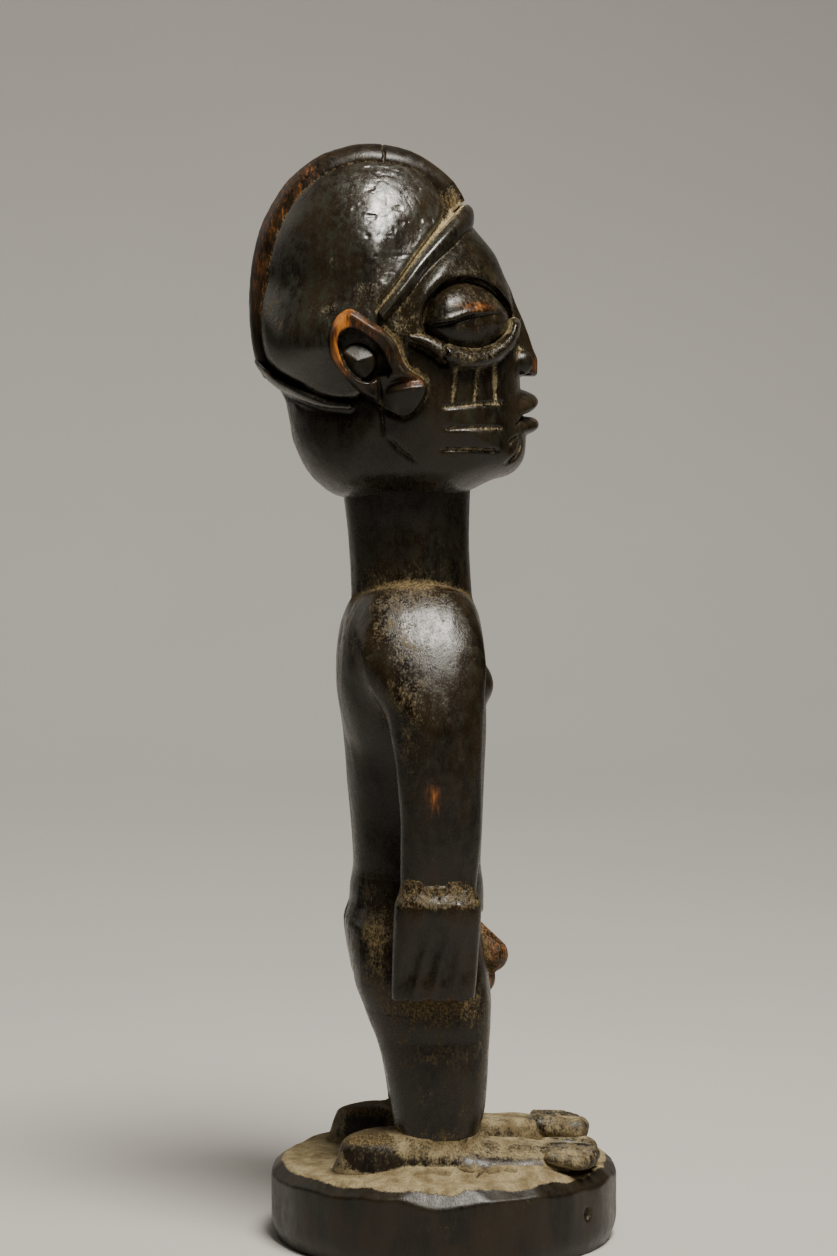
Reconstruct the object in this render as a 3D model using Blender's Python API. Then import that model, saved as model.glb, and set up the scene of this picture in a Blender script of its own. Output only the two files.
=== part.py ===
"""Standing twin figure carved from one billet of wood, on a round plinth.

The block is divided along its carved lines (ankle, wrist, shoulder, jaw, hairline) into
named solids that stand a hair's breadth apart. Metres, +Z up. The origin is the centre of
the plinth's underside; the figure faces -Y and its right side is at -X.
"""

import math

import bmesh
import bpy
from mathutils import Matrix, Vector

MM = 0.001
GAP = 0.3  # parting gap between neighbours, mm

# Driving dimensions, mm.
PLINTH_RADIUS = 43.5
PLINTH_HEIGHT = 19.5
PLINTH_CHAMFER = 3.0
PLINTH_WALL = [(0.0, 1.2), (3.0, 0.2), (9.0, 0.0)]  # (height, set back from the radius)
ANKLE_Z = 29.0
CROTCH_Z = 60.0
WAIST_Z = 92.0
WRIST_Z = 91.5
SHOULDER_Z = 160.0
JAW_Z = 185.5
FOOT_SPACING = 18.0  # middle plane to the middle of a foot
RIGHT, LEFT = -1, 1  # the figure's right side is at -X

RING_POINTS = 24
HEAD_REACH = 40.0  # wider than half the head, for the solids that cut right across it

# Horizontal sections, bottom to top, each one
# (height, front, back, middle of the width, half width, squareness).
# Front and back are distances towards the face from the plinth's centre.
TORSO = [
    (WAIST_Z + GAP, 8.8, -22.6, 0, 17.4, 2.4),
    (104.0, 9.4, -23.3, 0, 16.8, 2.4),
    (118.0, 9.9, -24.4, 0, 17.4, 2.5),
    (130.0, 10.4, -25.4, 0, 19.5, 2.6),
    (141.0, 11.0, -26.1, 0, 22.5, 2.7),
    (151.0, 9.6, -25.7, 0, 25.0, 2.8),
    (157.0, 8.3, -24.2, 0, 24.0, 2.6),
    (SHOULDER_Z, 7.2, -23.0, 0, 18.5, 2.3),
]
HIPS = [
    (CROTCH_Z, 10.6, -20.0, 0, 25.2, 2.7),
    (67.0, 10.3, -22.4, 0, 25.4, 2.6),
    (74.0, 9.5, -24.4, 0, 24.6, 2.6),
    (79.5, 8.8, -25.0, 0, 22.8, 2.5),
    (84.5, 8.5, -22.9, 0, 20.0, 2.4),
    (WAIST_Z, 8.8, -22.6, 0, 17.6, 2.4),
]
LEG = [
    (ANKLE_Z + GAP, 7.3, -12.6, 17.6, 9.0, 2.3),
    (36.0, 9.2, -13.8, 16.8, 9.6, 2.3),
    (47.0, 10.1, -15.9, 15.4, 11.0, 2.4),
    (CROTCH_Z - GAP, 10.5, -19.8, 13.3, 12.1, 2.5),
]
FOOT = [
    (PLINTH_HEIGHT + GAP, 38.0, -27.0, FOOT_SPACING, 10.4, 3.2),
    (23.8, 38.5, -27.2, FOOT_SPACING, 10.0, 3.2),
    (26.4, 37.2, -26.0, FOOT_SPACING, 9.0, 3.0),
]
INSTEP = [
    (24.0, 24.0, -22.0, FOOT_SPACING, 8.2, 2.4),
    (27.2, 15.0, -20.4, FOOT_SPACING, 8.6, 2.4),
    (ANKLE_Z, 8.0, -14.0, 17.6, 9.2, 2.3),
]
ARM = [
    (WRIST_Z + GAP, 6.4, -12.6, 29.6, 4.8, 2.3),
    (105.0, 7.2, -12.4, 29.8, 5.8, 2.3),
    (120.0, 7.4, -13.4, 29.6, 6.6, 2.3),
    (135.0, 7.6, -15.6, 28.4, 7.4, 2.3),
    (146.0, 7.7, -17.8, 26.4, 8.2, 2.3),
    (153.5, 6.8, -18.0, 24.4, 7.8, 2.2),
    (158.0, 3.6, -15.2, 22.0, 5.4, 2.1),
]
HAND = [
    (65.4, 6.0, -13.4, 30.6, 2.4, 2.6),
    (67.0, 6.8, -14.0, 30.6, 3.2, 3.0),
    (80.0, 7.1, -14.4, 30.6, 4.0, 3.0),
    (89.0, 7.2, -13.8, 30.2, 5.2, 3.0),
    (WRIST_Z, 6.9, -13.2, 30.0, 5.6, 3.0),
]
NECK = [
    (SHOULDER_Z + GAP, 6.9, -23.0, 0, 13.8, 2.1),
    (172.0, 6.2, -23.5, 0, 13.4, 2.1),
    (JAW_Z - GAP, 6.2, -24.6, 0, 14.0, 2.1),
]
SKULL = [
    (JAW_Z, 4.6, -24.4, 0, 15.5, 2.2),
    (188.6, 10.0, -31.2, 0, 20.3, 2.3),
    (193.0, 17.6, -34.5, 0, 22.8, 2.4),
    (199.0, 19.4, -37.1, 0, 24.0, 2.4),
    (206.0, 19.2, -38.6, 0, 24.7, 2.4),
    (213.0, 18.2, -42.8, 0, 25.1, 2.3),
    (221.0, 18.2, -46.7, 0, 25.3, 2.2),
    (231.0, 17.4, -47.8, 0, 25.2, 2.2),
    (241.0, 14.3, -47.6, 0, 23.9, 2.2),
    (250.0, 8.6, -46.0, 0, 21.4, 2.2),
    (258.0, 4.6, -42.0, 0, 17.2, 2.1),
    (264.5, -0.6, -36.9, 0, 12.4, 2.1),
    (269.0, -7.4, -30.2, 0, 7.6, 2.0),
    (271.2, -13.4, -24.2, 0, 3.6, 2.0),
]
NOSE = [
    (214.8, 21.0, 12.0, 0, 6.2, 2.2),
    (217.2, 22.9, 12.0, 0, 6.6, 2.2),
    (221.5, 22.2, 12.0, 0, 5.2, 2.2),
    (231.0, 18.4, 12.0, 0, 3.6, 2.2),
]
UPPER_LIP = [
    (205.6, 21.4, 10.0, 0, 7.6, 2.2),
    (207.6, 23.1, 10.0, 0, 8.6, 2.2),
    (209.4, 22.8, 10.0, 0, 8.0, 2.2),
    (212.0, 19.0, 10.0, 0, 5.0, 2.2),
]
LOWER_LIP = [
    (199.6, 20.2, 10.0, 0, 6.4, 2.2),
    (202.2, 22.6, 10.0, 0, 8.0, 2.2),
    (203.7, 23.1, 10.0, 0, 8.0, 2.2),
    (205.0, 21.4, 10.0, 0, 7.4, 2.2),
]

# The hairline in profile as (front, height): it runs from the top of the forehead down to
# the ear, then back to the nape. Everything above and behind it is hair.
HAIR_REGION = [
    (16, 266), (5, 258.2), (-16, 231.5), (-20, 211), (-38, 208.6), (-60, 208.6),
    (-60, 285), (16, 285),
]
# The crest band's centre line in profile, from the forehead over the crown to the nape.
CREST_LINE = [
    (4.2, 258.6), (-0.6, 264.2), (-8, 268.6), (-19, 270.9), (-30, 268.2), (-39.2, 259.6),
    (-44.8, 248), (-46.6, 234), (-45.8, 222), (-41.4, 213.4),
]
CREST_RADIUS = 1.9
# Bands on the surface of the head: (side distance, front, height) of their centre lines.
NAPE_LINE = [(3.6, -38.4, 209.9), (13, -36.2, 210.2), (20.6, -30.8, 211.2), (24.4, -24.0, 212.6)]
HAIRLINE = [(9.0, 4.8, 253.6), (17.8, 0.8, 249.0), (23.2, -5.6, 241.8), (24.8, -12.4, 234.2)]
LOWER_LID = [
    (25.4, -5.0, 225.6), (23.8, -0.4, 222.4), (21.2, 5.0, 220.6), (18.0, 10.4, 221.6),
    (15.0, 14.4, 224.8),
]
BAND_RADIUS = 1.5

EYE_PLACE = (17.4, 5.0, 229.4)  # side, front, height
EYE_SIZE = (10.6, 4.6, 7.0)  # half length, half depth, half height
EYE_TURN = math.radians(29)

EAR_PLACE = (26.2, -18.6, 219.6)
EAR_SIZE = (11.0, 13.4)  # half length front to back, half height
EAR_THICKNESS = 6.0
EAR_TILT = math.radians(-24)
# Hollow and knob: (side, front, height) from the middle of the ear's outer face, half sizes.
EAR_HOLLOW = ((0, 0.6, 2.0), (6.6, 3.4, 8.4))
EAR_KNOB = ((-2.6, -0.6, 0.2), (3.6, 2.8, 4.0))

BOSS_PLACE = (0, 10.6, 70.0)
BOSS_SIZE = (5.2, 5.8, 7.6)
BOSS_BACK = [(-1, 84), (7.4, 84), (9.0, 60), (-1, 60)]  # (front, height) of what is cut off

TOE_CUTS = 4
TOE_PITCH = 4.0
FIRST_TOE_CUT = -6.0  # from the foot's middle, inner side
TOE_CUT_START, TOE_CUT_STEP, TOE_CUT_END = 29.5, -0.7, 41.0  # front distances
TOE_CUT_FLOOR, TOE_CUT_HEIGHT = 21.4, 8.0
TOE_CUT_NARROW, TOE_CUT_WIDE = 0.2, 0.7  # half widths

FINGER_CUTS = 4
FINGER_PITCH = 4.3
FIRST_FINGER_CUT = -9.5  # front distance at the top of the cut
FINGER_CUT_SLANT = -1.2
FINGER_CUT_TOP, FINGER_CUT_FOOT = 82.5, 64.0
FINGER_CUT_HALF_WIDTH = 0.7
FINGER_CUT_OUTER, FINGER_CUT_INNER = 35.6, 33.9  # side distances of its mouth and its bottom

SKULL_POINTS = 36
WIDE_POINTS = 32
FEATURE_POINTS = 20
PLINTH_POINTS = 48

SHARP_ANGLE, ROUND_ANGLE = 35, 60  # degrees; edges sharper than this stay sharp

MATERIALS = {  # colour, roughness, metallic
    "dark_patina": ((0.030, 0.024, 0.018, 1), 0.38, 0.0),
    "hair_patina": ((0.036, 0.036, 0.032, 1), 0.32, 0.0),
    "worn_patina": ((0.16, 0.060, 0.022, 1), 0.42, 0.0),
    "dusty_patina": ((0.17, 0.145, 0.105, 1), 0.80, 0.0),
}


def place(side, front, height):
    """A point in metres from its side, front and height distances in mm."""
    return Vector((side, -front, height)) * MM


def material(name):
    found = bpy.data.materials.get(name)
    if found:
        return found
    colour, roughness, metallic = MATERIALS[name]
    made = bpy.data.materials.new(name)
    made.use_nodes = True
    shader = made.node_tree.nodes["Principled BSDF"]
    shader.inputs["Base Color"].default_value = colour
    shader.inputs["Roughness"].default_value = roughness
    shader.inputs["Metallic"].default_value = metallic
    made.diffuse_color = colour
    return made


def add_object(name, mesh, look="dark_patina", smooth_angle=SHARP_ANGLE):
    mesh.shade_smooth()
    mesh.set_sharp_from_angle(angle=math.radians(smooth_angle))
    piece = bpy.data.objects.new(name, mesh)
    bpy.context.scene.collection.objects.link(piece)
    mesh.materials.append(material(look))
    return piece


def mesh_from(name, form):
    """Turn a bmesh into a mesh with its faces pointing out."""
    bmesh.ops.recalc_face_normals(form, faces=form.faces)
    mesh = bpy.data.meshes.new(name)
    form.to_mesh(mesh)
    form.free()
    return mesh


def signed_power(value, exponent):
    return math.copysign(abs(value) ** exponent, value)


def section_loop(form, section, side, grow, points):
    """One horizontal superellipse as a closed loop of edges."""
    height, front, back, middle, half_width, squareness = section
    centre = (front + back) / 2
    half_depth = (front - back) / 2 + grow
    verts = []
    for index in range(points):
        turn = 2 * math.pi * index / points
        across = (half_width + grow) * signed_power(math.sin(turn), 2 / squareness)
        along = half_depth * signed_power(math.cos(turn), 2 / squareness)
        verts.append(form.verts.new(place(side * middle + across, centre + along, height)))
    return [form.edges.new((verts[i], verts[(i + 1) % points])) for i in range(points)]


def loft(sections, side=RIGHT, grow=0.0, points=RING_POINTS):
    """A closed solid through horizontal sections, grown outwards all round if asked."""
    stack = [list(section) for section in sections]
    stack[0][0] -= grow
    stack[-1][0] += grow
    form = bmesh.new()
    loops = [section_loop(form, section, side, grow, points) for section in stack]
    for lower, upper in zip(loops, loops[1:]):
        bmesh.ops.bridge_loops(form, edges=lower + upper)
    bmesh.ops.holes_fill(form, edges=loops[0] + loops[-1], sides=points)
    return form


def cutter(name, mesh):
    shape = bpy.data.objects.new(name, mesh)
    bpy.context.scene.collection.objects.link(shape)
    shape.hide_render = True
    shape.display_type = "WIRE"
    return shape


def boolean(piece, other, operation="DIFFERENCE"):
    step = piece.modifiers.new(f"{operation.lower()}_{other.name}"[:60], "BOOLEAN")
    step.operation = operation
    step.solver = "EXACT"
    step.object = other


def loft_cutter(name, sections, side=RIGHT, grow=0.0, points=RING_POINTS):
    return cutter(name, mesh_from(name, loft(sections, side, grow, points)))


def prism(name, outline, half_width, middle=0.0, grow=0.0):
    """A profile outline of (front, height) points, extruded across the figure."""
    form = bmesh.new()
    verts = [form.verts.new(place(middle - half_width, f, h)) for f, h in outline]
    face = form.faces.new(verts)
    swept = bmesh.ops.extrude_face_region(form, geom=[face])
    moved = [item for item in swept["geom"] if isinstance(item, bmesh.types.BMVert)]
    bmesh.ops.translate(form, verts=moved, vec=Vector((2 * half_width * MM, 0, 0)))
    bmesh.ops.recalc_face_normals(form, faces=form.faces)
    if grow:
        for vert in form.verts:
            vert.co += vert.normal * grow * MM
    return mesh_from(name, form)


def tube_mesh(name, points, radius, side=1, sides=2):
    """A round bar along points given as (side, front, height), with closed ends."""
    curve = bpy.data.curves.new(name, "CURVE")
    curve.dimensions = "3D"
    curve.resolution_u = 3
    curve.bevel_depth = radius * MM
    curve.bevel_resolution = sides
    curve.use_fill_caps = True
    line = curve.splines.new("NURBS")
    line.points.add(len(points) - 1)
    for point, (across, front, height) in zip(line.points, points):
        point.co = (*place(side * across, front, height), 1)
    line.order_u = 3
    line.use_endpoint_u = True
    holder = bpy.data.objects.new(name, curve)
    bpy.context.scene.collection.objects.link(holder)
    depsgraph = bpy.context.evaluated_depsgraph_get()
    mesh = bpy.data.meshes.new_from_object(holder.evaluated_get(depsgraph))
    bpy.data.objects.remove(holder, do_unlink=True)
    bpy.data.curves.remove(curve)
    form = bmesh.new()
    form.from_mesh(mesh)
    bpy.data.meshes.remove(mesh)
    bmesh.ops.remove_doubles(form, verts=form.verts, dist=1e-6)
    return mesh_from(name, form)


def ellipsoid_mesh(name, centre, size, side=1, turn=0.0, grow=0.0, segments=20, rings=10):
    """A ball scaled to half sizes (length, depth, height), turned about the vertical."""
    form = bmesh.new()
    bmesh.ops.create_uvsphere(form, u_segments=segments, v_segments=rings, radius=MM)
    length, depth, height = (value + grow for value in size)
    bmesh.ops.scale(form, verts=form.verts, vec=(depth, length, height))
    spin = Matrix.Rotation(-side * turn, 3, "Z")
    bmesh.ops.rotate(form, verts=form.verts, cent=(0, 0, 0), matrix=spin)
    across, front, tall = centre
    bmesh.ops.translate(form, verts=form.verts, vec=place(side * across, front, tall))
    return mesh_from(name, form)


def side_name(side):
    return "right" if side == RIGHT else "left"


def build_plinth():
    wall = PLINTH_HEIGHT - PLINTH_CHAMFER
    rings = [(height, -inset) for height, inset in PLINTH_WALL]
    rings += [(wall, -PLINTH_WALL[1][1]), (PLINTH_HEIGHT, -PLINTH_CHAMFER)]
    sections = []
    for height, inset in rings:
        radius = PLINTH_RADIUS + inset
        sections.append((height, radius, -radius, 0, radius, 2.0))
    mesh = mesh_from("plinth", loft(sections, points=PLINTH_POINTS))
    add_object("plinth", mesh, "dusty_patina")


def toe_grooves(side):
    """Four wedge-shaped notches that part the toes."""
    form = bmesh.new()
    for number in range(TOE_CUTS):
        across = side * (FOOT_SPACING + FIRST_TOE_CUT + TOE_PITCH * number)
        start = TOE_CUT_START + TOE_CUT_STEP * number
        corners = [(-TOE_CUT_NARROW, start), (TOE_CUT_NARROW, start)]
        corners += [(TOE_CUT_WIDE, TOE_CUT_END), (-TOE_CUT_WIDE, TOE_CUT_END)]
        verts = [form.verts.new(place(across + dx, f, TOE_CUT_FLOOR)) for dx, f in corners]
        face = form.faces.new(verts)
        swept = bmesh.ops.extrude_face_region(form, geom=[face])
        moved = [item for item in swept["geom"] if isinstance(item, bmesh.types.BMVert)]
        bmesh.ops.translate(form, verts=moved, vec=Vector((0, 0, TOE_CUT_HEIGHT * MM)))
    name = f"toe_grooves_{side_name(side)}"
    return cutter(name, mesh_from(name, form))


def build_foot(side):
    name = f"foot_{side_name(side)}"
    foot = add_object(name, mesh_from(name, loft(FOOT, side)), "dusty_patina")
    boolean(foot, loft_cutter(f"instep_{side_name(side)}", INSTEP, side), "UNION")
    boolean(foot, toe_grooves(side))


def build_leg(side):
    name = f"leg_{side_name(side)}"
    add_object(name, mesh_from(name, loft(LEG, side)))


def build_hips():
    hips = add_object("hips", mesh_from("hips", loft(HIPS)))
    boss = ellipsoid_mesh("boss_room", BOSS_PLACE, BOSS_SIZE, grow=GAP)
    boolean(hips, cutter("boss_room", boss))


def build_loin_boss():
    mesh = ellipsoid_mesh("loin_boss", BOSS_PLACE, BOSS_SIZE)
    boss = add_object("loin_boss", mesh, "worn_patina")
    boolean(boss, cutter("boss_back", prism("boss_back", BOSS_BACK, 2 * BOSS_SIZE[0])))


def build_torso():
    add_object("torso", mesh_from("torso", loft(TORSO, points=WIDE_POINTS)))


def build_arm(side):
    name = f"arm_{side_name(side)}"
    arm = add_object(name, mesh_from(name, loft(ARM, side)))
    boolean(arm, loft_cutter(f"torso_room_{name}", TORSO, grow=GAP, points=WIDE_POINTS))


def finger_grooves(side):
    """Slanted shallow cuts that part the fingers on the back of the hand."""
    form = bmesh.new()
    outer = side * FINGER_CUT_OUTER
    inner = side * FINGER_CUT_INNER
    for number in range(FINGER_CUTS):
        top = FIRST_FINGER_CUT + FINGER_PITCH * number
        ends = ((top, FINGER_CUT_TOP), (top + FINGER_CUT_SLANT, FINGER_CUT_FOOT))
        verts = []
        for front, height in ends:
            verts.append(form.verts.new(place(outer, front - FINGER_CUT_HALF_WIDTH, height)))
            verts.append(form.verts.new(place(outer, front + FINGER_CUT_HALF_WIDTH, height)))
            verts.append(form.verts.new(place(inner, front, height)))
        bmesh.ops.convex_hull(form, input=verts)
    name = f"finger_grooves_{side_name(side)}"
    return cutter(name, mesh_from(name, form))


def build_hand(side):
    name = f"hand_{side_name(side)}"
    hand = add_object(name, mesh_from(name, loft(HAND, side)))
    boolean(hand, finger_grooves(side))
    boolean(hand, loft_cutter(f"hip_room_{name}", HIPS, grow=GAP))


def build_neck():
    add_object("neck", mesh_from("neck", loft(NECK)))


def hair_prism(name, grow=0.0, middle=0.0, half_width=HEAD_REACH):
    return cutter(name, prism(name, HAIR_REGION, half_width, middle, grow))


def head_rooms(side):
    """Beds in the head for the parts carved proud of it on one side."""
    word = side_name(side)
    eye = ellipsoid_mesh(f"eye_room_{word}", EYE_PLACE, EYE_SIZE, side, EYE_TURN, GAP)
    lid = tube_mesh(f"lid_room_{word}", LOWER_LID, BAND_RADIUS + GAP, side)
    band = tube_mesh(f"hairline_room_{word}", HAIRLINE, BAND_RADIUS + GAP, side)
    nape = tube_mesh(f"nape_room_{word}", NAPE_LINE, BAND_RADIUS + GAP, side)
    ear = ear_blank(f"ear_room_{word}", side, GAP)
    return [cutter(mesh.name, mesh) for mesh in (eye, lid, band, nape, ear)]


def build_head(rooms, crest_room):
    head = add_object("head", mesh_from("head", loft(SKULL, points=SKULL_POINTS)))
    for name, sections in (("nose", NOSE), ("upper_lip", UPPER_LIP), ("lower_lip", LOWER_LIP)):
        boolean(head, loft_cutter(name, sections, points=FEATURE_POINTS), "UNION")
    boolean(head, hair_prism("hair_room", GAP))
    for room in [*rooms[RIGHT], *rooms[LEFT], crest_room]:
        boolean(head, room)


def build_hair(side, rooms, crest_room):
    name = f"hair_{side_name(side)}"
    hair = add_object(name, mesh_from(name, loft(SKULL, points=SKULL_POINTS)), "hair_patina")
    middle = side * (HEAD_REACH / 2 + GAP / 2)
    boolean(hair, hair_prism(f"region_{name}", 0.0, middle, HEAD_REACH / 2), "INTERSECT")
    boolean(hair, crest_room)
    for room in rooms[side][2:]:
        boolean(hair, room)


def build_crest():
    line = [(0, front, height) for front, height in CREST_LINE]
    add_object("hair_crest", tube_mesh("hair_crest", line, CREST_RADIUS), "worn_patina")
    room = tube_mesh("crest_room", line, CREST_RADIUS + GAP)
    return cutter("crest_room", room)


def build_bands(side, ear_room):
    word = side_name(side)
    for name, line in (("hairline", HAIRLINE), ("nape_band", NAPE_LINE), ("lower_lid", LOWER_LID)):
        full = f"{name}_{word}"
        look = "hair_patina" if name != "lower_lid" else "dark_patina"
        band = add_object(full, tube_mesh(full, line, BAND_RADIUS, side), look)
        if name == "nape_band":
            boolean(band, ear_room)
        if name == "lower_lid":
            room = ellipsoid_mesh(f"lid_eye_room_{word}", EYE_PLACE, EYE_SIZE, side, EYE_TURN, GAP)
            boolean(band, cutter(room.name, room))


def build_eye(side):
    name = f"eye_{side_name(side)}"
    mesh = ellipsoid_mesh(name, EYE_PLACE, EYE_SIZE, side, EYE_TURN)
    add_object(name, mesh, smooth_angle=ROUND_ANGLE)


def ear_blank(name, side, grow=0.0):
    """An oval slab standing on the side of the head, leaning back at the top."""
    form = bmesh.new()
    length, height = (value + grow for value in EAR_SIZE)
    depth = EAR_THICKNESS + 2 * grow
    bmesh.ops.create_cone(form, cap_ends=True, segments=24, radius1=MM, radius2=MM,
                          depth=depth * MM)
    bmesh.ops.rotate(form, verts=form.verts, matrix=Matrix.Rotation(math.pi / 2, 3, "Y"))
    bmesh.ops.scale(form, verts=form.verts, vec=(1, length, height))
    lean = Matrix.Rotation(EAR_TILT, 3, "X")
    bmesh.ops.rotate(form, verts=form.verts, matrix=lean)
    across, front, tall = EAR_PLACE
    bmesh.ops.translate(form, verts=form.verts, vec=place(side * across, front, tall))
    return mesh_from(name, form)


def build_ear(side):
    word = side_name(side)
    ear = add_object(f"ear_{word}", ear_blank(f"ear_{word}", side), "worn_patina")
    across, front, tall = EAR_PLACE
    face = across + EAR_THICKNESS / 2
    for name, (shift, size), operation, segments in (
        ("ear_hollow", EAR_HOLLOW, "DIFFERENCE", 20), ("ear_knob", EAR_KNOB, "UNION", 12),
    ):
        middle = (face + shift[0], front + shift[1], tall + shift[2])
        mesh = ellipsoid_mesh(f"{name}_{word}", middle, size, side, segments=segments,
                              rings=segments // 2)
        boolean(ear, cutter(mesh.name, mesh), operation)


def main():
    for old in list(bpy.data.objects):
        bpy.data.objects.remove(old, do_unlink=True)
    build_plinth()
    build_hips()
    build_loin_boss()
    build_torso()
    build_neck()
    crest_room = build_crest()
    rooms = {side: head_rooms(side) for side in (RIGHT, LEFT)}
    build_head(rooms, crest_room)
    for side in (RIGHT, LEFT):
        build_foot(side)
        build_leg(side)
        build_arm(side)
        build_hand(side)
        build_hair(side, rooms, crest_room)
        build_bands(side, rooms[side][-1])
        build_eye(side)
        build_ear(side)


main()
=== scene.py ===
"""Looks of the standing twin figure: every CAD node is replaced by a sculpted piece of the
same carving, with patina, rubbed edges, packed dust and knife work.

Sculpting is done in millimetres in the figure's own directions: side (x), front (f, towards
the face, which is -Y) and height (z). A form is a function that gives the signed distance to
its surface; meshes are drawn through the points where that distance is zero.
"""

import math

import bpy
import numpy as np
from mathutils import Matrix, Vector


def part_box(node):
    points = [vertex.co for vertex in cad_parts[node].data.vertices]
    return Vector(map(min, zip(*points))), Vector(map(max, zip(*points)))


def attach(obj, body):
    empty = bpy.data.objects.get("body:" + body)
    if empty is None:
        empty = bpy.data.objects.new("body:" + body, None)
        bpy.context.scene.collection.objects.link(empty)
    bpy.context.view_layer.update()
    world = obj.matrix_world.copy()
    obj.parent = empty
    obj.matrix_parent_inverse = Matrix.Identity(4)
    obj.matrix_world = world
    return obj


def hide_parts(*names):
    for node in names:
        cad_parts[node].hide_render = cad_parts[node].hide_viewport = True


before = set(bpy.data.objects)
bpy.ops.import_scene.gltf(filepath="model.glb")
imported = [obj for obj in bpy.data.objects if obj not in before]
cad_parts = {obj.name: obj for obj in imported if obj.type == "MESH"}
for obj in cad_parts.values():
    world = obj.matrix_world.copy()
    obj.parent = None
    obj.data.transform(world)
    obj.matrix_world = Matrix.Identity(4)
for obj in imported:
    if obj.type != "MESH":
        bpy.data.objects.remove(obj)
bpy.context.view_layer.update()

MM = 0.001
RIGHT, LEFT = -1, 1


def box_mm(node):
    """Lowest and highest corners of a CAD node as (side, front, height) in mm."""
    low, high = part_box(node)
    return (
        np.array([low.x, -high.y, low.z]) / MM,
        np.array([high.x, -low.y, high.z]) / MM,
    )


PLINTH_LOW, PLINTH_HIGH = box_mm("plinth")
PLINTH_RADIUS = PLINTH_HIGH[0]
PLINTH_TOP = PLINTH_HIGH[2]
ANKLE_Z = box_mm("leg_right")[0][2]
CROTCH_Z = box_mm("hips")[0][2]
WAIST_Z = box_mm("hips")[1][2]
WRIST_Z = box_mm("hand_right")[1][2]
SHOULDER_Z = box_mm("torso")[1][2]
JAW_Z = box_mm("head")[0][2]
FOOT_SIDE = abs(box_mm("foot_right")[0][0] + box_mm("foot_right")[1][0]) / 2

# Grid steps of the sculpted pieces, mm.
COARSE = 1.0
HEAD_STEP = 0.34 * COARSE
BODY_STEP = 0.5 * COARSE
FOOT_STEP = 0.4 * COARSE
HAND_STEP = 0.4 * COARSE

LATTICE_SIZE = 32
LATTICE = np.random.default_rng(11).uniform(-1, 1, (LATTICE_SIZE,) * 3)


# ---------------------------------------------------------------- small maths


def ease(low, high, value):
    """0 at low, 1 at high, with a soft rise between."""
    t = np.clip((value - low) / (high - low), 0, 1)
    return t * t * (3 - 2 * t)


def join(a, b, blend):
    """Smooth union of two distances."""
    h = np.clip(0.5 + 0.5 * (b - a) / blend, 0, 1)
    return b + (a - b) * h - blend * h * (1 - h)


def meet(a, b, blend):
    """Smooth intersection of two distances."""
    return -join(-a, -b, blend)


def dome(inset, reach):
    """A quarter round: 0 at the edge, 1 from reach inwards."""
    t = 1 - np.clip(inset / reach, 0, 1)
    return np.sqrt(np.clip(1 - t * t, 0, 1))


def bump(distance, width):
    return np.exp(-((distance / width) ** 2))


def noise(x, f, z, size, shift=0):
    """Smooth random waves from -1 to 1; size is the wave's length, one value or three."""
    size = np.broadcast_to(size, 3)
    total = 0.0
    cells, parts = [], []
    for value, length, offset in zip((x, f, z), size, (0, 7.3, 3.9)):
        q = value / length + offset + shift
        whole = np.floor(q)
        part = q - whole
        cells.append(whole.astype(np.int32) % LATTICE_SIZE)
        parts.append(part * part * (3 - 2 * part))
    for corner in range(8):
        bits = (corner & 1, corner >> 1 & 1, corner >> 2 & 1)
        index, weight = [], 1.0
        for cell, part, bit in zip(cells, parts, bits):
            index.append((cell + bit) % LATTICE_SIZE)
            weight = weight * (part if bit else 1 - part)
        total += weight * LATTICE[tuple(index)]
    return total


def hermite(knots, values, at):
    """A smooth curve through the knots that doesn't overshoot them."""
    knots, values = np.asarray(knots, float), np.asarray(values, float)
    gaps = np.diff(knots)
    slopes = np.diff(values) / gaps
    tangent = np.zeros(len(knots))
    same = slopes[:-1] * slopes[1:] > 0
    total = slopes[:-1] + slopes[1:]
    tangent[1:-1] = np.where(same, 2 * slopes[:-1] * slopes[1:] / np.where(same, total, 1), 0)
    tangent[0], tangent[-1] = slopes[0], slopes[-1]
    span = np.clip(np.searchsorted(knots, at) - 1, 0, len(gaps) - 1)
    t = np.clip((at - knots[span]) / gaps[span], 0, 1)
    run = gaps[span]
    return (
        values[span] * (2 * t**3 - 3 * t**2 + 1)
        + tangent[span] * run * (t**3 - 2 * t**2 + t)
        + values[span + 1] * (3 * t**2 - 2 * t**3)
        + tangent[span + 1] * run * (t**3 - t**2)
    )


def catmull(points, closed=False, per_span=10):
    """A smooth line through 2D or 3D points."""
    p = np.asarray(points, float)
    if closed:
        p = np.vstack([p[-1], p, p[0], p[1]])
    else:
        p = np.vstack([2 * p[0] - p[1], p, 2 * p[-1] - p[-2]])
    t = np.linspace(0, 1, per_span, endpoint=False)[:, None]
    line = []
    for a, b, c, d in zip(p, p[1:], p[2:], p[3:]):
        line.append(
            0.5 * (2 * b + (c - a) * t + (2 * a - 5 * b + 4 * c - d) * t**2
                   + (3 * b - a - 3 * c + d) * t**3)
        )
    line = np.vstack(line)
    return line if closed else np.vstack([line, p[-2]])


# ------------------------------------------------------------ column-like forms


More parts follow.
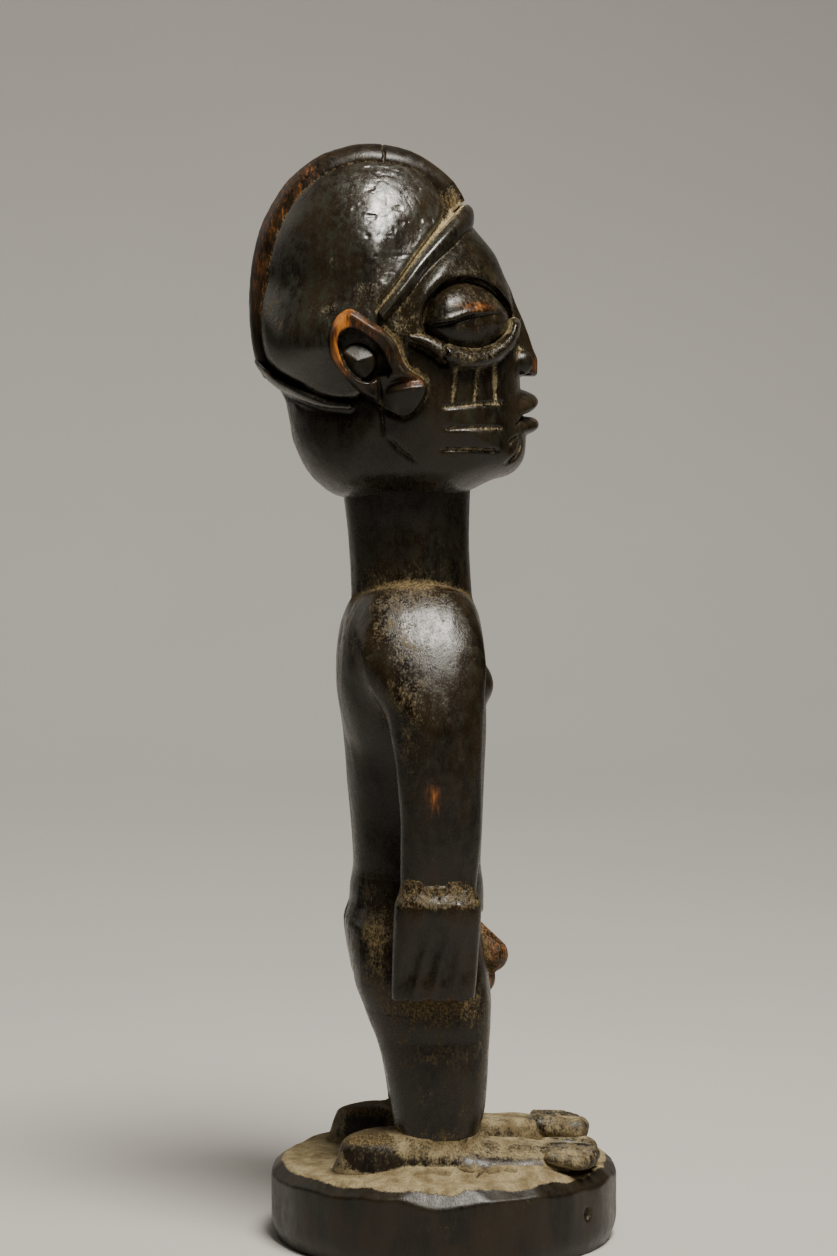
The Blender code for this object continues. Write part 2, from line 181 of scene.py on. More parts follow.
class Column:
    """A form given by horizontal superellipse sections, each one
    (height, front, back, middle of the width, half width, squareness)."""

    def __init__(self, sections, samples=1600):
        rows = np.array(sections, float)
        self.height = np.linspace(rows[0, 0], rows[-1, 0], samples)
        self.values = [hermite(rows[:, 0], rows[:, k], self.height) for k in range(1, 6)]

    def distance(self, x, f, z):
        front, back, middle, half_width, power = (
            np.interp(z, self.height, column) for column in self.values
        )
        dx, df = x - middle, f - (front + back) / 2
        r = (
            np.abs(dx / half_width) ** power
            + np.abs(2 * df / (front - back)) ** power
        ) ** (1 / power)
        value = np.hypot(dx, df) * (1 - 1 / np.maximum(r, 0.05))
        return np.maximum(value, np.maximum(self.height[0] - z, z - self.height[-1]))


def ball(x, f, z, centre, radii):
    """Near enough the distance to an ellipsoid."""
    q = [(value - c) / r for value, c, r in zip((x, f, z), centre, radii)]
    length = np.sqrt(sum(v * v for v in q))
    slope = np.sqrt(sum((v / r) ** 2 for v, r in zip(q, radii)))
    return length * (length - 1) / np.maximum(slope, 1e-4)


def rod(x, f, z, start, end, radius_start, radius_end):
    """A round bar with ball ends that can taper."""
    a, b = np.asarray(start, float), np.asarray(end, float)
    along = b - a
    offset = (x - a[0], f - a[1], z - a[2])
    t = np.clip(sum(o * w for o, w in zip(offset, along)) / (along @ along), 0, 1)
    gap = np.sqrt(sum((o - w * t) ** 2 for o, w in zip(offset, along)))
    return gap - (radius_start + (radius_end - radius_start) * t)


# ------------------------------------------------------------------------ body

TORSO = Column([
    (84, 8.6, -22.4, 0, 18.2, 2.4),
    (92, 8.9, -22.6, 0, 17.4, 2.4),
    (104, 9.4, -23.3, 0, 16.8, 2.4),
    (118, 9.9, -24.5, 0, 17.4, 2.5),
    (130, 10.3, -25.5, 0, 20, 2.6),
    (138, 10.2, -26, 0, 22.4, 2.6),
    (146, 9.9, -26, 0, 24.2, 2.5),
    (152, 9.2, -25.5, 0, 25.4, 2.4),
    (157.5, 8.2, -24.3, 0, 26.2, 2.3),
    (166, 7.4, -23.6, 0, 25.6, 2.2),
])
HIPS = Column([
    (54, 10.2, -17.8, 0, 25.6, 2.7),
    (60, 10.5, -20, 0, 25.8, 2.7),
    (67, 10.2, -22.5, 0, 25.6, 2.6),
    (73, 9.6, -24.3, 0, 24.8, 2.6),
    (79.6, 8.8, -25, 0, 22.8, 2.5),
    (82.4, 8.5, -23.9, 0, 21.4, 2.4),
    (85.4, 8.5, -22.2, 0, 19.4, 2.4),
    (89, 8, -21.4, 0, 16.4, 2.4),
    (96, 4, -17, 0, 11, 2.4),
])
LEG = Column([
    (18, 7, -12.2, 17.6, 8.6, 2.3),
    (27, 7.3, -12.6, 17.5, 8.9, 2.3),
    (36, 9.2, -13.8, 16.8, 9.6, 2.3),
    (47, 10.1, -15.9, 15.4, 11, 2.4),
    (60, 10.5, -19.9, 13.2, 12.4, 2.5),
    (67, 9.8, -22.2, 12.4, 12.8, 2.5),
    (74, 7.4, -21.6, 11.8, 11.2, 2.4),
    (84, 2, -15, 10, 6, 2.3),
])
ARM = Column([
    (86, 5.8, -12.2, 29.4, 4.7, 2.3),
    (92, 6.1, -12.2, 29.4, 4.9, 2.3),
    (105, 7.2, -12.2, 29.8, 6, 2.2),
    (120, 7.5, -13.3, 29.7, 7, 2),
    (131, 7.9, -14.9, 28.9, 8.2, 1.75),
    (140, 8.2, -17.2, 27.6, 9.6, 1.6),
    (149, 8, -18.6, 25.8, 11, 1.5),
    (166, 7.6, -19, 24, 11.4, 1.5),
])
NECK = Column([
    (150, 7.4, -23.4, 0, 14.4, 2.1),
    (159, 7, -23, 0, 13.9, 2.1),
    (166, 6.5, -23.2, 0, 13.5, 2.1),
    (175, 6.1, -23.8, 0, 13.5, 2.1),
    (184, 6.2, -24.7, 0, 14.2, 2.1),
    (194, 6.8, -25.6, 0, 15, 2.1),
])
HAND = Column([
    (62, 5, -14, 30.6, 3.9, 2.9),
    (67, 5.9, -14.5, 30.7, 4.2, 2.9),
    (76, 6.6, -14.4, 30.8, 4.9, 2.8),
    (WRIST_Z - 3.6, 7.3, -13.8, 30.4, 6.5, 2.7),
    (WRIST_Z - 3, 7.2, -13.7, 30.3, 6.5, 2.7),
    (WRIST_Z + 0.2, 6.2, -12.6, 29.8, 5.4, 2.6),
    (95, 5.4, -12, 29.6, 4.8, 2.6),
])


def carver_marks(x, f, z):
    """Long shallow facets left by the knife along the billet, with faint crests between."""
    broad = noise(x, f, z, (8, 8, 21))
    narrow = noise(x, f, z, (4.2, 4.2, 12), 5)
    return 0.30 * np.abs(broad) + 0.14 * np.abs(narrow) - 0.16


def shoulder_roof(x, f):
    """Height of the shoulders' top: a saddle that falls away outwards and front to back."""
    out = np.maximum(np.abs(x) - 15, 0)
    fall = 0.32 * out + 0.047 * out**2
    return SHOULDER_Z + 4.8 - 4.4 * np.abs((f + 8) / 15.5) ** 2.4 - fall


def trunk_form(x, f, z):
    side = np.abs(x)
    torso = TORSO.distance(x, f, z)
    chest = ball(side, f, z, (9.6, 7.6, 139.6), (5.4, 3.9, 4.8))
    torso = join(torso, chest, 2.2)
    spine = 0.9 * bump(x, 2.6) * ease(-4, -16, f) * ease(88, 104, z)
    torso += spine * ease(158, 148, z)
    blade = ball(side, f, z, (12, -19, 142), (10.5, 6.6, 15))
    return join(torso, blade, 5)


def hips_form(x, f, z):
    side = np.abs(x)
    hips = HIPS.distance(x, f, z)
    cleft = 2.2 * bump(x, 1.6) * ease(-15, -22, f) * ease(86, 81, z)
    front_vee = 0.7 * bump(side - 0.42 * (z - 52), 1.4) * ease(4, 9, f)
    return hips + cleft + front_vee * ease(88, 80, z)


def legs_form(x, f, z):
    return LEG.distance(np.abs(x), f, z)


def arms_form(x, f, z):
    return ARM.distance(np.abs(x), f, z)


FINGER_CUTS = [  # start (front, height), end, depth: slanting cuts that part the fingers
    ((-7.6, 80.6), (-11.2, 68.6), 1.5), ((-3.6, 81), (-6.6, 69.4), 1.3),
    ((0.4, 80), (-1.8, 69.6), 1.1), ((4.2, 79.4), (3, 69.8), 0.9),
]


def hands_form(x, f, z):
    """Flat hands that lie along the thighs, with parted fingers and a bevelled cuff."""
    side = np.abs(x)
    hand = HAND.distance(side, f, z)
    cuts = 0.0
    for start, end, depth in FINGER_CUTS:
        run = (z - start[1]) / (end[1] - start[1])
        gap = f - (start[0] + (end[0] - start[0]) * run)
        fade = ease(-0.5, 0.35, run) * (1 - 0.6 * ease(0.7, 1.15, run))
        cuts = np.maximum(cuts, depth * bump(gap, 1.7 + 0.5 * run) * fade * (run < 1.6))
    hand += cuts * ease(31, 33, side)
    ragged = 0.8 * np.abs(np.sin(0.62 * (f + 10.5))) + 0.35 * noise(x, f, z, (3, 2.2, 9), 3)
    hand = meet(hand, 65.6 - ragged - z, 0.5)
    nick = 0.35 * ease(0.1, 0.8, noise(x, f, z, (2.2, 1.6, 1.2), 6))
    cuff = ease(WRIST_Z - 4.4, WRIST_Z - 3, z)
    return hand + nick * cuff + 0.12 * np.abs(noise(x, f, z, (4, 4, 10), 2))


def boss_form(x, f, z):
    shaft = rod(x, f, z, (0, 6.6, 77.2), (0, 11.7, 70.6), 3.2, 4.4)
    tip = meet(shaft, 0.62 * (f - 16.1) - 0.78 * (z - 66.6) - 3.4, 1.2)
    lobe = ball(x, f, z, (0, 9.4, 64.8), (4.3, 3.5, 4.3))
    return join(tip, lobe, 0.8) + 0.14 * np.abs(noise(x, f, z, 3, 9))


def body_form(x, f, z):
    """Trunk, hips, legs, arms and neck as one carved surface."""
    marks = carver_marks(x, f, z)
    roof = z - shoulder_roof(x, f)
    trunk = join(trunk_form(x, f, z), hips_form(x, f, z), 5)
    trunk = meet(trunk, 56.0 - z, 3)
    trunk = join(trunk, legs_form(x, f, z), 3.5)
    shoulder_blend = 1.2 + 11.0 * ease(122, 146, z)
    trunk = join(trunk, meet(arms_form(x, f, z), WRIST_Z - 3 - z, 1), shoulder_blend)
    trunk = meet(trunk, roof, 5)
    neck = NECK.distance(x, f, z)
    return join(trunk, neck, 0.8) + marks


TUCK, TUCK_DEPTH = 1.3, 0.3


def cut(form, *planes):
    """The form kept where every plane function is negative, and a little beyond, where it
    dips under its neighbour so that the seam doesn't show."""
    def kept(x, f, z):
        value = form(x, f, z)
        for plane in planes:
            beyond = plane(x, f, z)
            value += TUCK_DEPTH * ease(0.05, 0.9, beyond)
            value = np.maximum(value, beyond - TUCK)
        return value
    return kept


def above(level):
    return lambda x, f, z: level - z


def below(level):
    return lambda x, f, z: z - level


# ------------------------------------------------------------- plinth and feet

RIM_CUTS, WALL_CUTS = 19, 20  # knife cuts around the top edge and around the wall
CHAMFER = 3.5
HOLE = (-26.9, 34, 10.4)  # a small hole in the wall of the plinth
TOES = [  # side of the toe from the foot's middle (inner side negative), reach, radius
    (-6.6, 37.6, 3.2), (-1.9, 38, 2.6), (2, 37.2, 2.4), (5.5, 35.8, 2.2), (8.6, 34, 2),
]


def feet_form(x, f, z):
    """Flat slab feet with blunt toes, a high heel and a knife-cut outer edge."""
    side = np.abs(x) - FOOT_SIDE
    up = z - PLINTH_TOP
    rise = np.clip(up, -10, 14)
    width = 8.9 + 1.3 * ease(-20, 20, f) + 0.16 * (6.0 - rise)
    along = (f - 1.4) / (30.2 - 0.32 * rise)
    slab = ((np.abs(side) / width) ** 2.6 + np.abs(along) ** 3) ** (1 / 2.8) - 1
    slab = slab * 10
    instep = 6.9 + 3.6 * ease(14, -8, f) - 1.2 * ease(-16, -28, f)
    instep -= 1.0 * ease(18, 30, f)
    outward = side + 0.35 * noise(x, f, z, 8, 1)
    instep = instep - 0.30 * np.maximum(outward - 1, 0) - 0.05 * np.maximum(outward - 5.4, 0) ** 2
    foot = meet(slab, up - instep, 2)
    for offset, reach, radius in TOES:
        start = (offset * 0.86, 25, PLINTH_TOP + 4.7)
        end = (offset, reach - radius, PLINTH_TOP + 3.7)
        foot = join(foot, rod(side, f, z, start, end, radius * 0.8, radius), 0.12)
    lumps = 0.16 * noise(x, f, z, 5, 8) + 0.10 * np.abs(noise(x, f, z, (3, 5, 3), 4))
    toe_lumps = 0.25 * noise(x, f, z, 2.2, 6) * ease(24, 30, f)
    return foot + lumps + toe_lumps


def cake_form(x, f, z):
    """Packed dust that fills the angle between the feet and the plinth."""
    up = z - PLINTH_TOP
    side = np.abs(x) - FOOT_SIDE
    bank = 0.7 * ease(4, 13, side) + 0.30 * noise(x, f, z, 5, 3)
    bank += 2.4 * bump(side - 9.4, 3.4) * ease(-22, -8, f) * ease(30, 20, f)
    return up - bank


CRACKS = [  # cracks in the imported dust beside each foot: (front, side) corners
    [(2.6, 10), (5.2, 10.7), (7.4, 9.9), (9.6, 11.2), (12.8, 10.4), (15.6, 11)],
    [(6.4, 12.4), (7.6, 10.8), (9.2, 9.4)], [(-9, 11.4), (-4.4, 10.9), (-0.6, 11.6)],
]


def crack_depth(x, f, z):
    """Dark splits along the outer edge of each foot."""
    total = 0.0
    out = np.abs(x) - FOOT_SIDE
    for corners in CRACKS:
        for (f0, out0), (f1, out1) in zip(corners, corners[1:]):
            run = np.clip((f - f0) / (f1 - f0), 0, 1)
            gap = np.hypot(f - f0 - run * (f1 - f0), out - out0 - run * (out1 - out0))
            total = np.maximum(total, 1.3 * bump(gap, 0.5))
    return total * ease(-4, -1, z - PLINTH_TOP)


def plinth_form(x, f, z):
    """A disc with a knife-cut chamfer, uneven flats on its wall and a caked top."""
    draw = np.random.default_rng(23)
    radius = np.hypot(x, f)
    wall = radius - (PLINTH_RADIUS - 0.1 - 1.4 * ease(7, 0, z) ** 2)
    for index in range(WALL_CUTS):
        turn = 2 * math.pi * (index + draw.uniform(-0.3, 0.3)) / WALL_CUTS
        reach = PLINTH_RADIUS - draw.uniform(0.1, 0.55)
        wall = meet(wall, x * math.sin(turn) + f * math.cos(turn) - reach, 0.5)
    body = meet(wall, -z, 0.5)
    cake = cake_form(x, f, z) + 0.07 * noise(x, f, z, 1.1, 2)
    body = meet(body, cake, 0.5)
    feet = np.maximum(feet_form(x, f, z) + 0.5, np.abs(z - PLINTH_TOP) - 3)
    body = join(body, feet, 2.6)
    for index in range(RIM_CUTS):
        jitter = draw.uniform(-0.3, 0.3)
        turn = 2 * math.pi * (index + jitter) / RIM_CUTS - math.pi / 2
        tilt = math.radians(draw.uniform(42, 54))
        drop = draw.uniform(-0.35, 0.15)
        if index == 0:  # the broad flat that catches the light, on the figure's right
            turn, tilt, drop = -math.pi / 2 - 0.05, math.radians(39), -0.15
        elif index in (1, RIM_CUTS - 1):
            tilt = math.radians(54)
        out = (x * math.sin(turn) + f * math.cos(turn)) * math.cos(tilt)
        edge = (PLINTH_RADIUS - CHAMFER) * math.cos(tilt) + PLINTH_TOP * math.sin(tilt)
        body = meet(body, out + z * math.sin(tilt) - edge + drop, 0.45)
    body = meet(body, -ball(x, f, z, HOLE, (1.6, 1.3, 1.7)), 0.4)
    grain = 0.06 * noise(x, f, z, (2.5, 2.5, 9), 1) + 0.10 * np.abs(noise(x, f, z, (6, 6, 9), 8))
    return body + grain + crack_depth(x, f, z)


def standing_feet_form(x, f, z):
    leg = legs_form(x, f, z)
    foot = join(feet_form(x, f, z), leg, 2.8)
    return np.maximum(foot, PLINTH_TOP - 2.5 - z)


# ------------------------------------------------------------------------ head
# The head is an outline in profile, swollen sideways into a rounded form. Features on its
# sides are heights above that form, drawn on a map of (front, height).

MAP_STEP = 0.2
MAP_LOW = np.array([-56, 178])
MAP_HIGH = np.array([32, 280])
MAP_F, MAP_Z = np.meshgrid(
    np.arange(MAP_LOW[0], MAP_HIGH[0], MAP_STEP),
    np.arange(MAP_LOW[1], MAP_HIGH[1], MAP_STEP),
    indexing="ij",
)


def line_map(points, smooth=True):
    """Distance to a line on the map, and how far along the line the nearest point is."""
    line = catmull(points) if smooth and len(points) > 2 else np.asarray(points, float)
    best = np.full(MAP_F.shape, 1e9)
    along = np.zeros(MAP_F.shape)
    lengths = np.hypot(*np.diff(line, axis=0).T)
    run = np.concatenate([[0], np.cumsum(lengths)])
    for index, (a, b) in enumerate(zip(line, line[1:])):
        step = b - a
        t = ((MAP_F - a[0]) * step[0] + (MAP_Z - a[1]) * step[1]) / (step @ step)
        t = np.clip(t, 0, 1)
        gap = np.hypot(MAP_F - a[0] - step[0] * t, MAP_Z - a[1] - step[1] * t)
        nearer = gap < best
        best = np.where(nearer, gap, best)
        along = np.where(nearer, (run[index] + t * lengths[index]) / run[-1], along)
    return best, along


def outline_map(points, smooth=True):
    """Signed distance to a closed outline on the map, negative inside."""
    ring = catmull(points, closed=True) if smooth else np.asarray(points, float)
    edge, _ = line_map(np.vstack([ring, ring[0]]), smooth=False)
    inside = np.zeros(MAP_F.shape, bool)
    for a, b in zip(ring, np.roll(ring, -1, axis=0)):
        if a[1] == b[1]:
            continue
        crosses = (a[1] > MAP_Z) != (b[1] > MAP_Z)
        at = a[0] + (MAP_Z - a[1]) * (b[0] - a[0]) / (b[1] - a[1])
        inside ^= crosses & (MAP_F < at)
    return np.where(inside, -edge, edge)


def soften(grid, rounds, reach):
    """Blur a map a little, so that its creases don't show."""
    for _ in range(rounds):
        for axis in (0, 1):
            total = grid.copy()
            for shift in range(1, reach + 1):
                total += np.roll(grid, shift, axis) + np.roll(grid, -shift, axis)
            grid = total / (2 * reach + 1)
    return grid


def read_map(grid, f, z):
    u = np.clip((f - MAP_LOW[0]) / MAP_STEP, 0, grid.shape[0] - 1.001)
    v = np.clip((z - MAP_LOW[1]) / MAP_STEP, 0, grid.shape[1] - 1.001)
    i, j = u.astype(np.int32), v.astype(np.int32)
    du, dv = u - i, v - j
    return (
        grid[i, j] * (1 - du) * (1 - dv) + grid[i + 1, j] * du * (1 - dv)
        + grid[i, j + 1] * (1 - du) * dv + grid[i + 1, j + 1] * du * dv
    )


PROFILE = [  # skull, hair and face from the side, without nose, lips and raised bands
    (3.6, 257.4), (0.9, 261.8), (-3, 265.4), (-8.2, 268.4), (-13.8, 270.1), (-19, 270.5),
    (-24, 269.7), (-31.6, 266.6), (-39.2, 259.4), (-44.3, 249.2), (-46.3, 237.4),
    (-46.2, 227), (-44.6, 218.4), (-41.2, 212.8), (-39, 208.8), (-38.3, 204.6),
    (-37, 198.5), (-34.5, 193), (-31, 188.6), (-24.7, 185.3), (-12, 184.4),
    (2, 185.6), (10.8, 189.2), (16.2, 191), (18.8, 193.4), (19.9, 196.6), (20.1, 201),
    (19.4, 207), (18.6, 213), (18.3, 219), (17.9, 226), (16.9, 232), (15, 239),
    (12.2, 245.2), (8.6, 249.6), (5.4, 253.8),
]
PANEL_EDGE = [  # the smooth side panel of the hair
    (-25.2, 268.4), (-16.8, 269), (-9.6, 267.6), (-4.8, 264.4), (-2, 260.4), (-0.8, 256.6),
    (-1.8, 253.4), (-3.9, 250.8), (-7.3, 246.6), (-10.8, 241.9), (-14.2, 237.6), (-17.2, 234.2),
    (-18, 228), (-18, 219), (-22.6, 211.4), (-30.2, 211.2), (-36.2, 214.3),
    (-41, 217), (-44, 220.6), (-45.6, 229.4), (-45.8, 237.2), (-44.6, 245.4),
    (-42.2, 252.6), (-38.2, 259), (-32.6, 264.8),
]
HAIR_FRONT = [  # middle of the hairline ridge, then down behind the ear to the nape band
    (14, 260), (6.6, 254.4), (3.4, 252.4), (-1, 248), (-5.2, 243.2), (-10.2, 236.6),
    (-14.4, 231.8), (-17.6, 227.6), (-20, 211.5), (-25, 208.9), (-30.4, 209.4),
    (-37, 211.8), (-42.4, 214.3), (-60, 214), (-60, 290), (14, 290),
]
RIDGE_TOP = [(8.8, 261.2), (5.4, 258.2), (2.8, 255.6), (0.4, 253.2), (-3.7, 249.2),
             (-7.8, 244.5), (-11.7, 239.2), (-14.6, 235.4), (-17.4, 231.8)]
RIDGE_FOOT = [(11.6, 252), (8.4, 251.6), (5.2, 250.6), (1.8, 247.7), (-2.1, 244.2),
              (-5.4, 241), (-8.6, 237.1), (-11.7, 233.8), (-14.1, 231.2), (-15.9, 229.2)]
NAPE_LINE = [(-48, 219.6), (-45, 217), (-42.2, 214.4), (-37, 211.9), (-30.4, 209.5),
             (-24.4, 208.8)]
EYE_EDGE = [
    (-5.5, 229), (-4.8, 232.4), (-2.9, 235.2), (0.1, 237.1), (3.6, 237.8), (7.4, 237),
    (10.5, 235.2), (13.2, 232.6), (14.9, 229.4), (14.2, 226.4), (11, 223.6), (7.2, 221.6),
    (3.2, 221.6), (-0.8, 222.6), (-4, 225.4),
]
SOCKET_EDGE = [
    (-7, 228.6), (-6, 233.2), (-3.6, 236.8), (-0.4, 239), (3.2, 239.8), (6.8, 239.4),
    (10.3, 238), (13, 235.8), (15.4, 232.8), (16.4, 229), (15.4, 225), (11.2, 221.6),
    (6.6, 219.9), (2, 220.3), (-1.4, 221.6), (-5, 224.2),
]
EYE_SLIT = [(-6, 228.2), (-2.5, 228.6), (0.9, 229.3), (4.4, 230.4), (6.9, 231),
            (10, 231.4), (12.7, 230.9), (15.4, 229.4)]
LID_LINE = [(-9.8, 225.8), (-6, 224.7), (-1.1, 221.8), (2.4, 220.6), (6.4, 220.1),
            (10.5, 220.9), (13.6, 222.8), (16, 225.4), (17, 228)]
LID_REACH = ((0, 0.12, 0.33, 0.5, 0.7, 0.85, 1), (0.8, 1.6, 2.7, 2.8, 2.5, 2.2, 1.7))
TAIL_WEDGE = [(-9.6, 223.8), (-6.2, 222.2), (-3.4, 220.6), (-1.5, 219.2)]
BROW_RIDGE = [(4.4, 245), (1.4, 243.7), (-2.1, 241.1), (-5, 238.2), (-6.8, 235.2),
              (-7.8, 232), (-8.6, 228.8), (-10, 226.4)]
EAR_EDGE = [
    (-24.7, 232.5), (-27.4, 230.7), (-29, 227.7), (-29.4, 224.7), (-28.9, 221.1),
    (-27.4, 218.4), (-25.5, 216), (-23.4, 213.6), (-21.6, 211.9), (-18.8, 210.4),
    (-15.4, 208.4), (-12.6, 207), (-10.6, 206.9), (-7.9, 208.9), (-6.1, 211.7),
    (-5.6, 213.9), (-7.1, 215.9), (-9.8, 217.6), (-11.4, 219.6), (-12.2, 221.7),
    (-13, 223.9), (-14.7, 226.1), (-16.8, 228), (-19.8, 229.9), (-22.5, 231.8),
]
EAR_HOLLOW = [
    (-26.9, 224.6), (-26.2, 226.6), (-24.2, 227.6), (-22, 226.9), (-20.1, 225.6),
    (-17.9, 223.7), (-16.5, 221.7), (-15.6, 219.3), (-14.8, 217.3), (-17.7, 216.1),
    (-19.6, 215.1), (-22.5, 215.9), (-24.6, 217.9), (-25.8, 220.1), (-26.6, 222.4),
]
EAR_KNOB = (-22.4, 219.8)
LOBE_RIDGE = [(-13.6, 212.6), (-9.6, 213.4), (-6, 213.6)]
STRAP_CUT = [(-17.9, 215.6), (-17.2, 212.6), (-16.7, 209.2)]

CHEEK_UPRIGHTS = [((1.4, 217.9), (0.6, 209.2)), ((6.9, 217.6), (6, 209.5)),
                  ((11.2, 218.3), (11.4, 209.6))]
CHEEK_BARS = [((-1.6, 208.6), (13.6, 209.3)), ((-1, 203.5), (12.9, 203.2)),
              ((-1.9, 198.3), (11.9, 197.8))]
SMALL_CUTS = [
    [(14.3, 198.6), (15.7, 200.2), (17.6, 200.9)], [(18, 200), (17.6, 197.6),
                                                    (16.2, 195.8), (14.2, 194.4)],
    [(-17, 211.6), (-16.6, 208.4), (-16.3, 205.4), (-16.1, 202.2)],
    [(-14.7, 201.1), (-11.7, 198), (-8.2, 195.4)],
]

depth_map = soften(-outline_map(PROFILE), 3, 4)
panel_map = outline_map(PANEL_EDGE) - 0.4
hair_map = outline_map(HAIR_FRONT, smooth=False)
eye_map = outline_map(EYE_EDGE) - 0.6
socket_map = outline_map(SOCKET_EDGE)
ear_map = outline_map(EAR_EDGE)
hollow_map = outline_map(EAR_HOLLOW)
ridge_map = outline_map(
    np.vstack([catmull(RIDGE_TOP), catmull(RIDGE_FOOT)[::-1]]), smooth=False
)
ridge_top_map, _ = line_map(RIDGE_TOP)
ridge_foot_map, _ = line_map(RIDGE_FOOT)
nape_map, nape_run = line_map(NAPE_LINE)
lid_map, lid_run = line_map(LID_LINE)
wedge_map, wedge_run = line_map(TAIL_WEDGE)
brow_map, brow_run = line_map(BROW_RIDGE)
slit_map, _ = line_map(EYE_SLIT)
strap_map, _ = line_map(STRAP_CUT)
slit_height = np.interp(MAP_F, *catmull(EYE_SLIT).T)
lobe_ridge_height = np.interp(MAP_F, *np.transpose(LOBE_RIDGE))
lid_reach = np.interp(lid_run, *LID_REACH)


def cuts_map():
    """The cheek marks and small knife strokes, as depth: deepest away from their ends."""
    marks = [([(f0, z0), ((f0 + f1) / 2, (z0 + z1) / 2 + 0.2), (f1, z1)], 0.75, 0.5, 0.08, 0.45)
             for (f0, z0), (f1, z1) in CHEEK_UPRIGHTS + CHEEK_BARS]
    marks += [(stroke, 0.80, 0.46, 0.2, 0.65) for stroke in SMALL_CUTS]
    total = np.zeros(MAP_F.shape)
    for line, depth, width, ends, loss in marks:
        gap, run = line_map(line)
        fade = ease(0, ends, run) * ease(1, 1 - ends, run)
        total = np.maximum(total, depth * bump(gap, width) * (1 - loss + loss * fade))
    return total


cuts = cuts_map()


def core_height():
    """Heights on the face and skull; under the hair and the eyes it lies a little lower."""
    height = -1.3 * ease(0.6, -0.6, hair_map)
    ridge = bump(brow_map, 2.3) * ease(0, 0.4, brow_run)
    height += 1.5 * ridge
    rim = bump(socket_map - 0.9, 1.3) * ease(233, 238, MAP_Z)
    height += 0.45 * rim
    height -= 2.6 * ease(0.35, -0.75, socket_map)
    height -= 0.6 * bump(ear_map, 0.9)
    height -= 0.5 * bump(ridge_foot_map, 0.7) * ease(8, 4, MAP_F)
    height -= 0.55 * bump(nape_map - 1.9, 0.8) * ease(214, 210, MAP_Z)
    wedge = 0.35 + 0.75 * wedge_run
    height -= 1.8 * ease(wedge + 0.35, wedge - 0.5, wedge_map)
    temple = np.hypot((MAP_F + 11.4) / 3, (MAP_Z - 231) / 5)
    height -= 0.6 * bump(temple, 1)
    return height - cuts


def panel_height():
    inset = -panel_map
    return -0.9 + 1.5 * dome(inset, 1.5) + 0.7 * dome(inset, 12)


RIDGE_CROWN = 0.36  # where across the ridge its top lies


def ridge_height():
    across = ridge_top_map / np.maximum(ridge_top_map + ridge_foot_map, 0.1)
    upper = np.sqrt(np.clip(1 - ((across - RIDGE_CROWN) / RIDGE_CROWN) ** 2, 0, 1))
    lower = 1 - np.clip((across - RIDGE_CROWN) / (1 - RIDGE_CROWN), 0, 1) ** 1.5
    return -0.3 + 2.7 * np.where(across < RIDGE_CROWN, upper, lower)


def nape_height():
    reach = 1.5 - 0.5 * ease(0.6, 1, nape_run)
    return -0.7 + 2.6 * np.sqrt(np.clip(1 - (nape_map / reach) ** 2, 0, 1))


def eye_height():
    """A bulging ball whose upper lid hangs over a narrow slit."""
    inset = -eye_map
    below_slit = slit_height - MAP_Z
    height = -2.6 + 6.3 * dome(inset, 7)
    height -= 0.75 * ease(-0.15, 0.45, below_slit) * ease(15, 9, MAP_F)
    height -= 0.8 * ease(1, 7, below_slit)
    height += 0.40 * bump(below_slit + 1, 0.9)
    slit = bump(slit_map, 0.36) * ease(8.5, 4, MAP_F)
    return height - 1.0 * slit


def lid_height():
    round_top = np.sqrt(np.clip(1 - (lid_map / lid_reach) ** 2, 0, 1))
    height = -1.0 + 4.4 * round_top * (0.7 + 0.3 * ease(0, 0.35, lid_run))
    wiggle = MAP_F + 1.2 + 0.35 * np.sin(MAP_Z * 2.4)
    return height - 2.2 * bump(wiggle, 0.24)


def ear_height():
    """A raised C of rim around a deep hollow with a cut knob, and a wedge for the lobe."""
    inset = -ear_map
    low_part = ease(217, 212, MAP_Z)
    rim = 0.8 + 3.9 * dome(inset, 1.4) - 0.30 * np.maximum(inset - 1.6, 0)
    rim = rim + 0.5 * noise(MAP_F, 0 * MAP_F, MAP_Z, 4, 5) - 1.3 * low_part
    edge = ease(0.45, -0.35, hollow_map)
    height = rim * (1 - edge) - 0.8 * edge
    df, dz = MAP_F - EAR_KNOB[0], MAP_Z - EAR_KNOB[1]
    knob = np.minimum.reduce([
        4.2 - 0.62 * dz - 0.10 * df, 4.1 + 0.10 * dz - 0.34 * df, 4.3 + 0.44 * df + 0.18 * dz,
        4.2 + 0.34 * dz + 0.12 * df, np.full(MAP_F.shape, 4.2),
    ])
    reach = np.hypot(df, dz * 0.95)
    gem = np.where(reach < 4.8, knob - 2.2 * ease(4, 4.8, reach), -9)
    height = np.maximum(height, gem)
    over = MAP_Z - lobe_ridge_height
    lobe = 5.2 - 0.95 * np.maximum(over - 0.4, 0) - 0.34 * np.maximum(-over, 0) - 0.03 * over**2
    lobe = lobe - 0.5 * np.maximum(-13.4 - MAP_F, 0) - 0.06 * (MAP_F + 10) ** 2
    lobe = np.minimum(lobe, 0.3 + 5.2 * dome(inset, 2.2))
    height = np.where(MAP_F > -17.5, np.maximum(height * (1 - low_part) + 2.0 * low_part, lobe), height)
    return height - 0.9 * bump(strap_map, 0.5)


maps = {
    "core": core_height(), "panel": panel_height(), "ridge": ridge_height(),
    "nape": nape_height(), "eye": eye_height(), "lid": lid_height(), "ear": ear_height(),
}
for soft in ("core", "panel", "ear", "ridge"):
    maps[soft] = soften(maps[soft], 1, 1)

FACE_SWELL, HAIR_SWELL = 26, 33.0
FACE_POWER, HAIR_POWER = 2.1, 1.45
HALF_WIDTH = 25.5


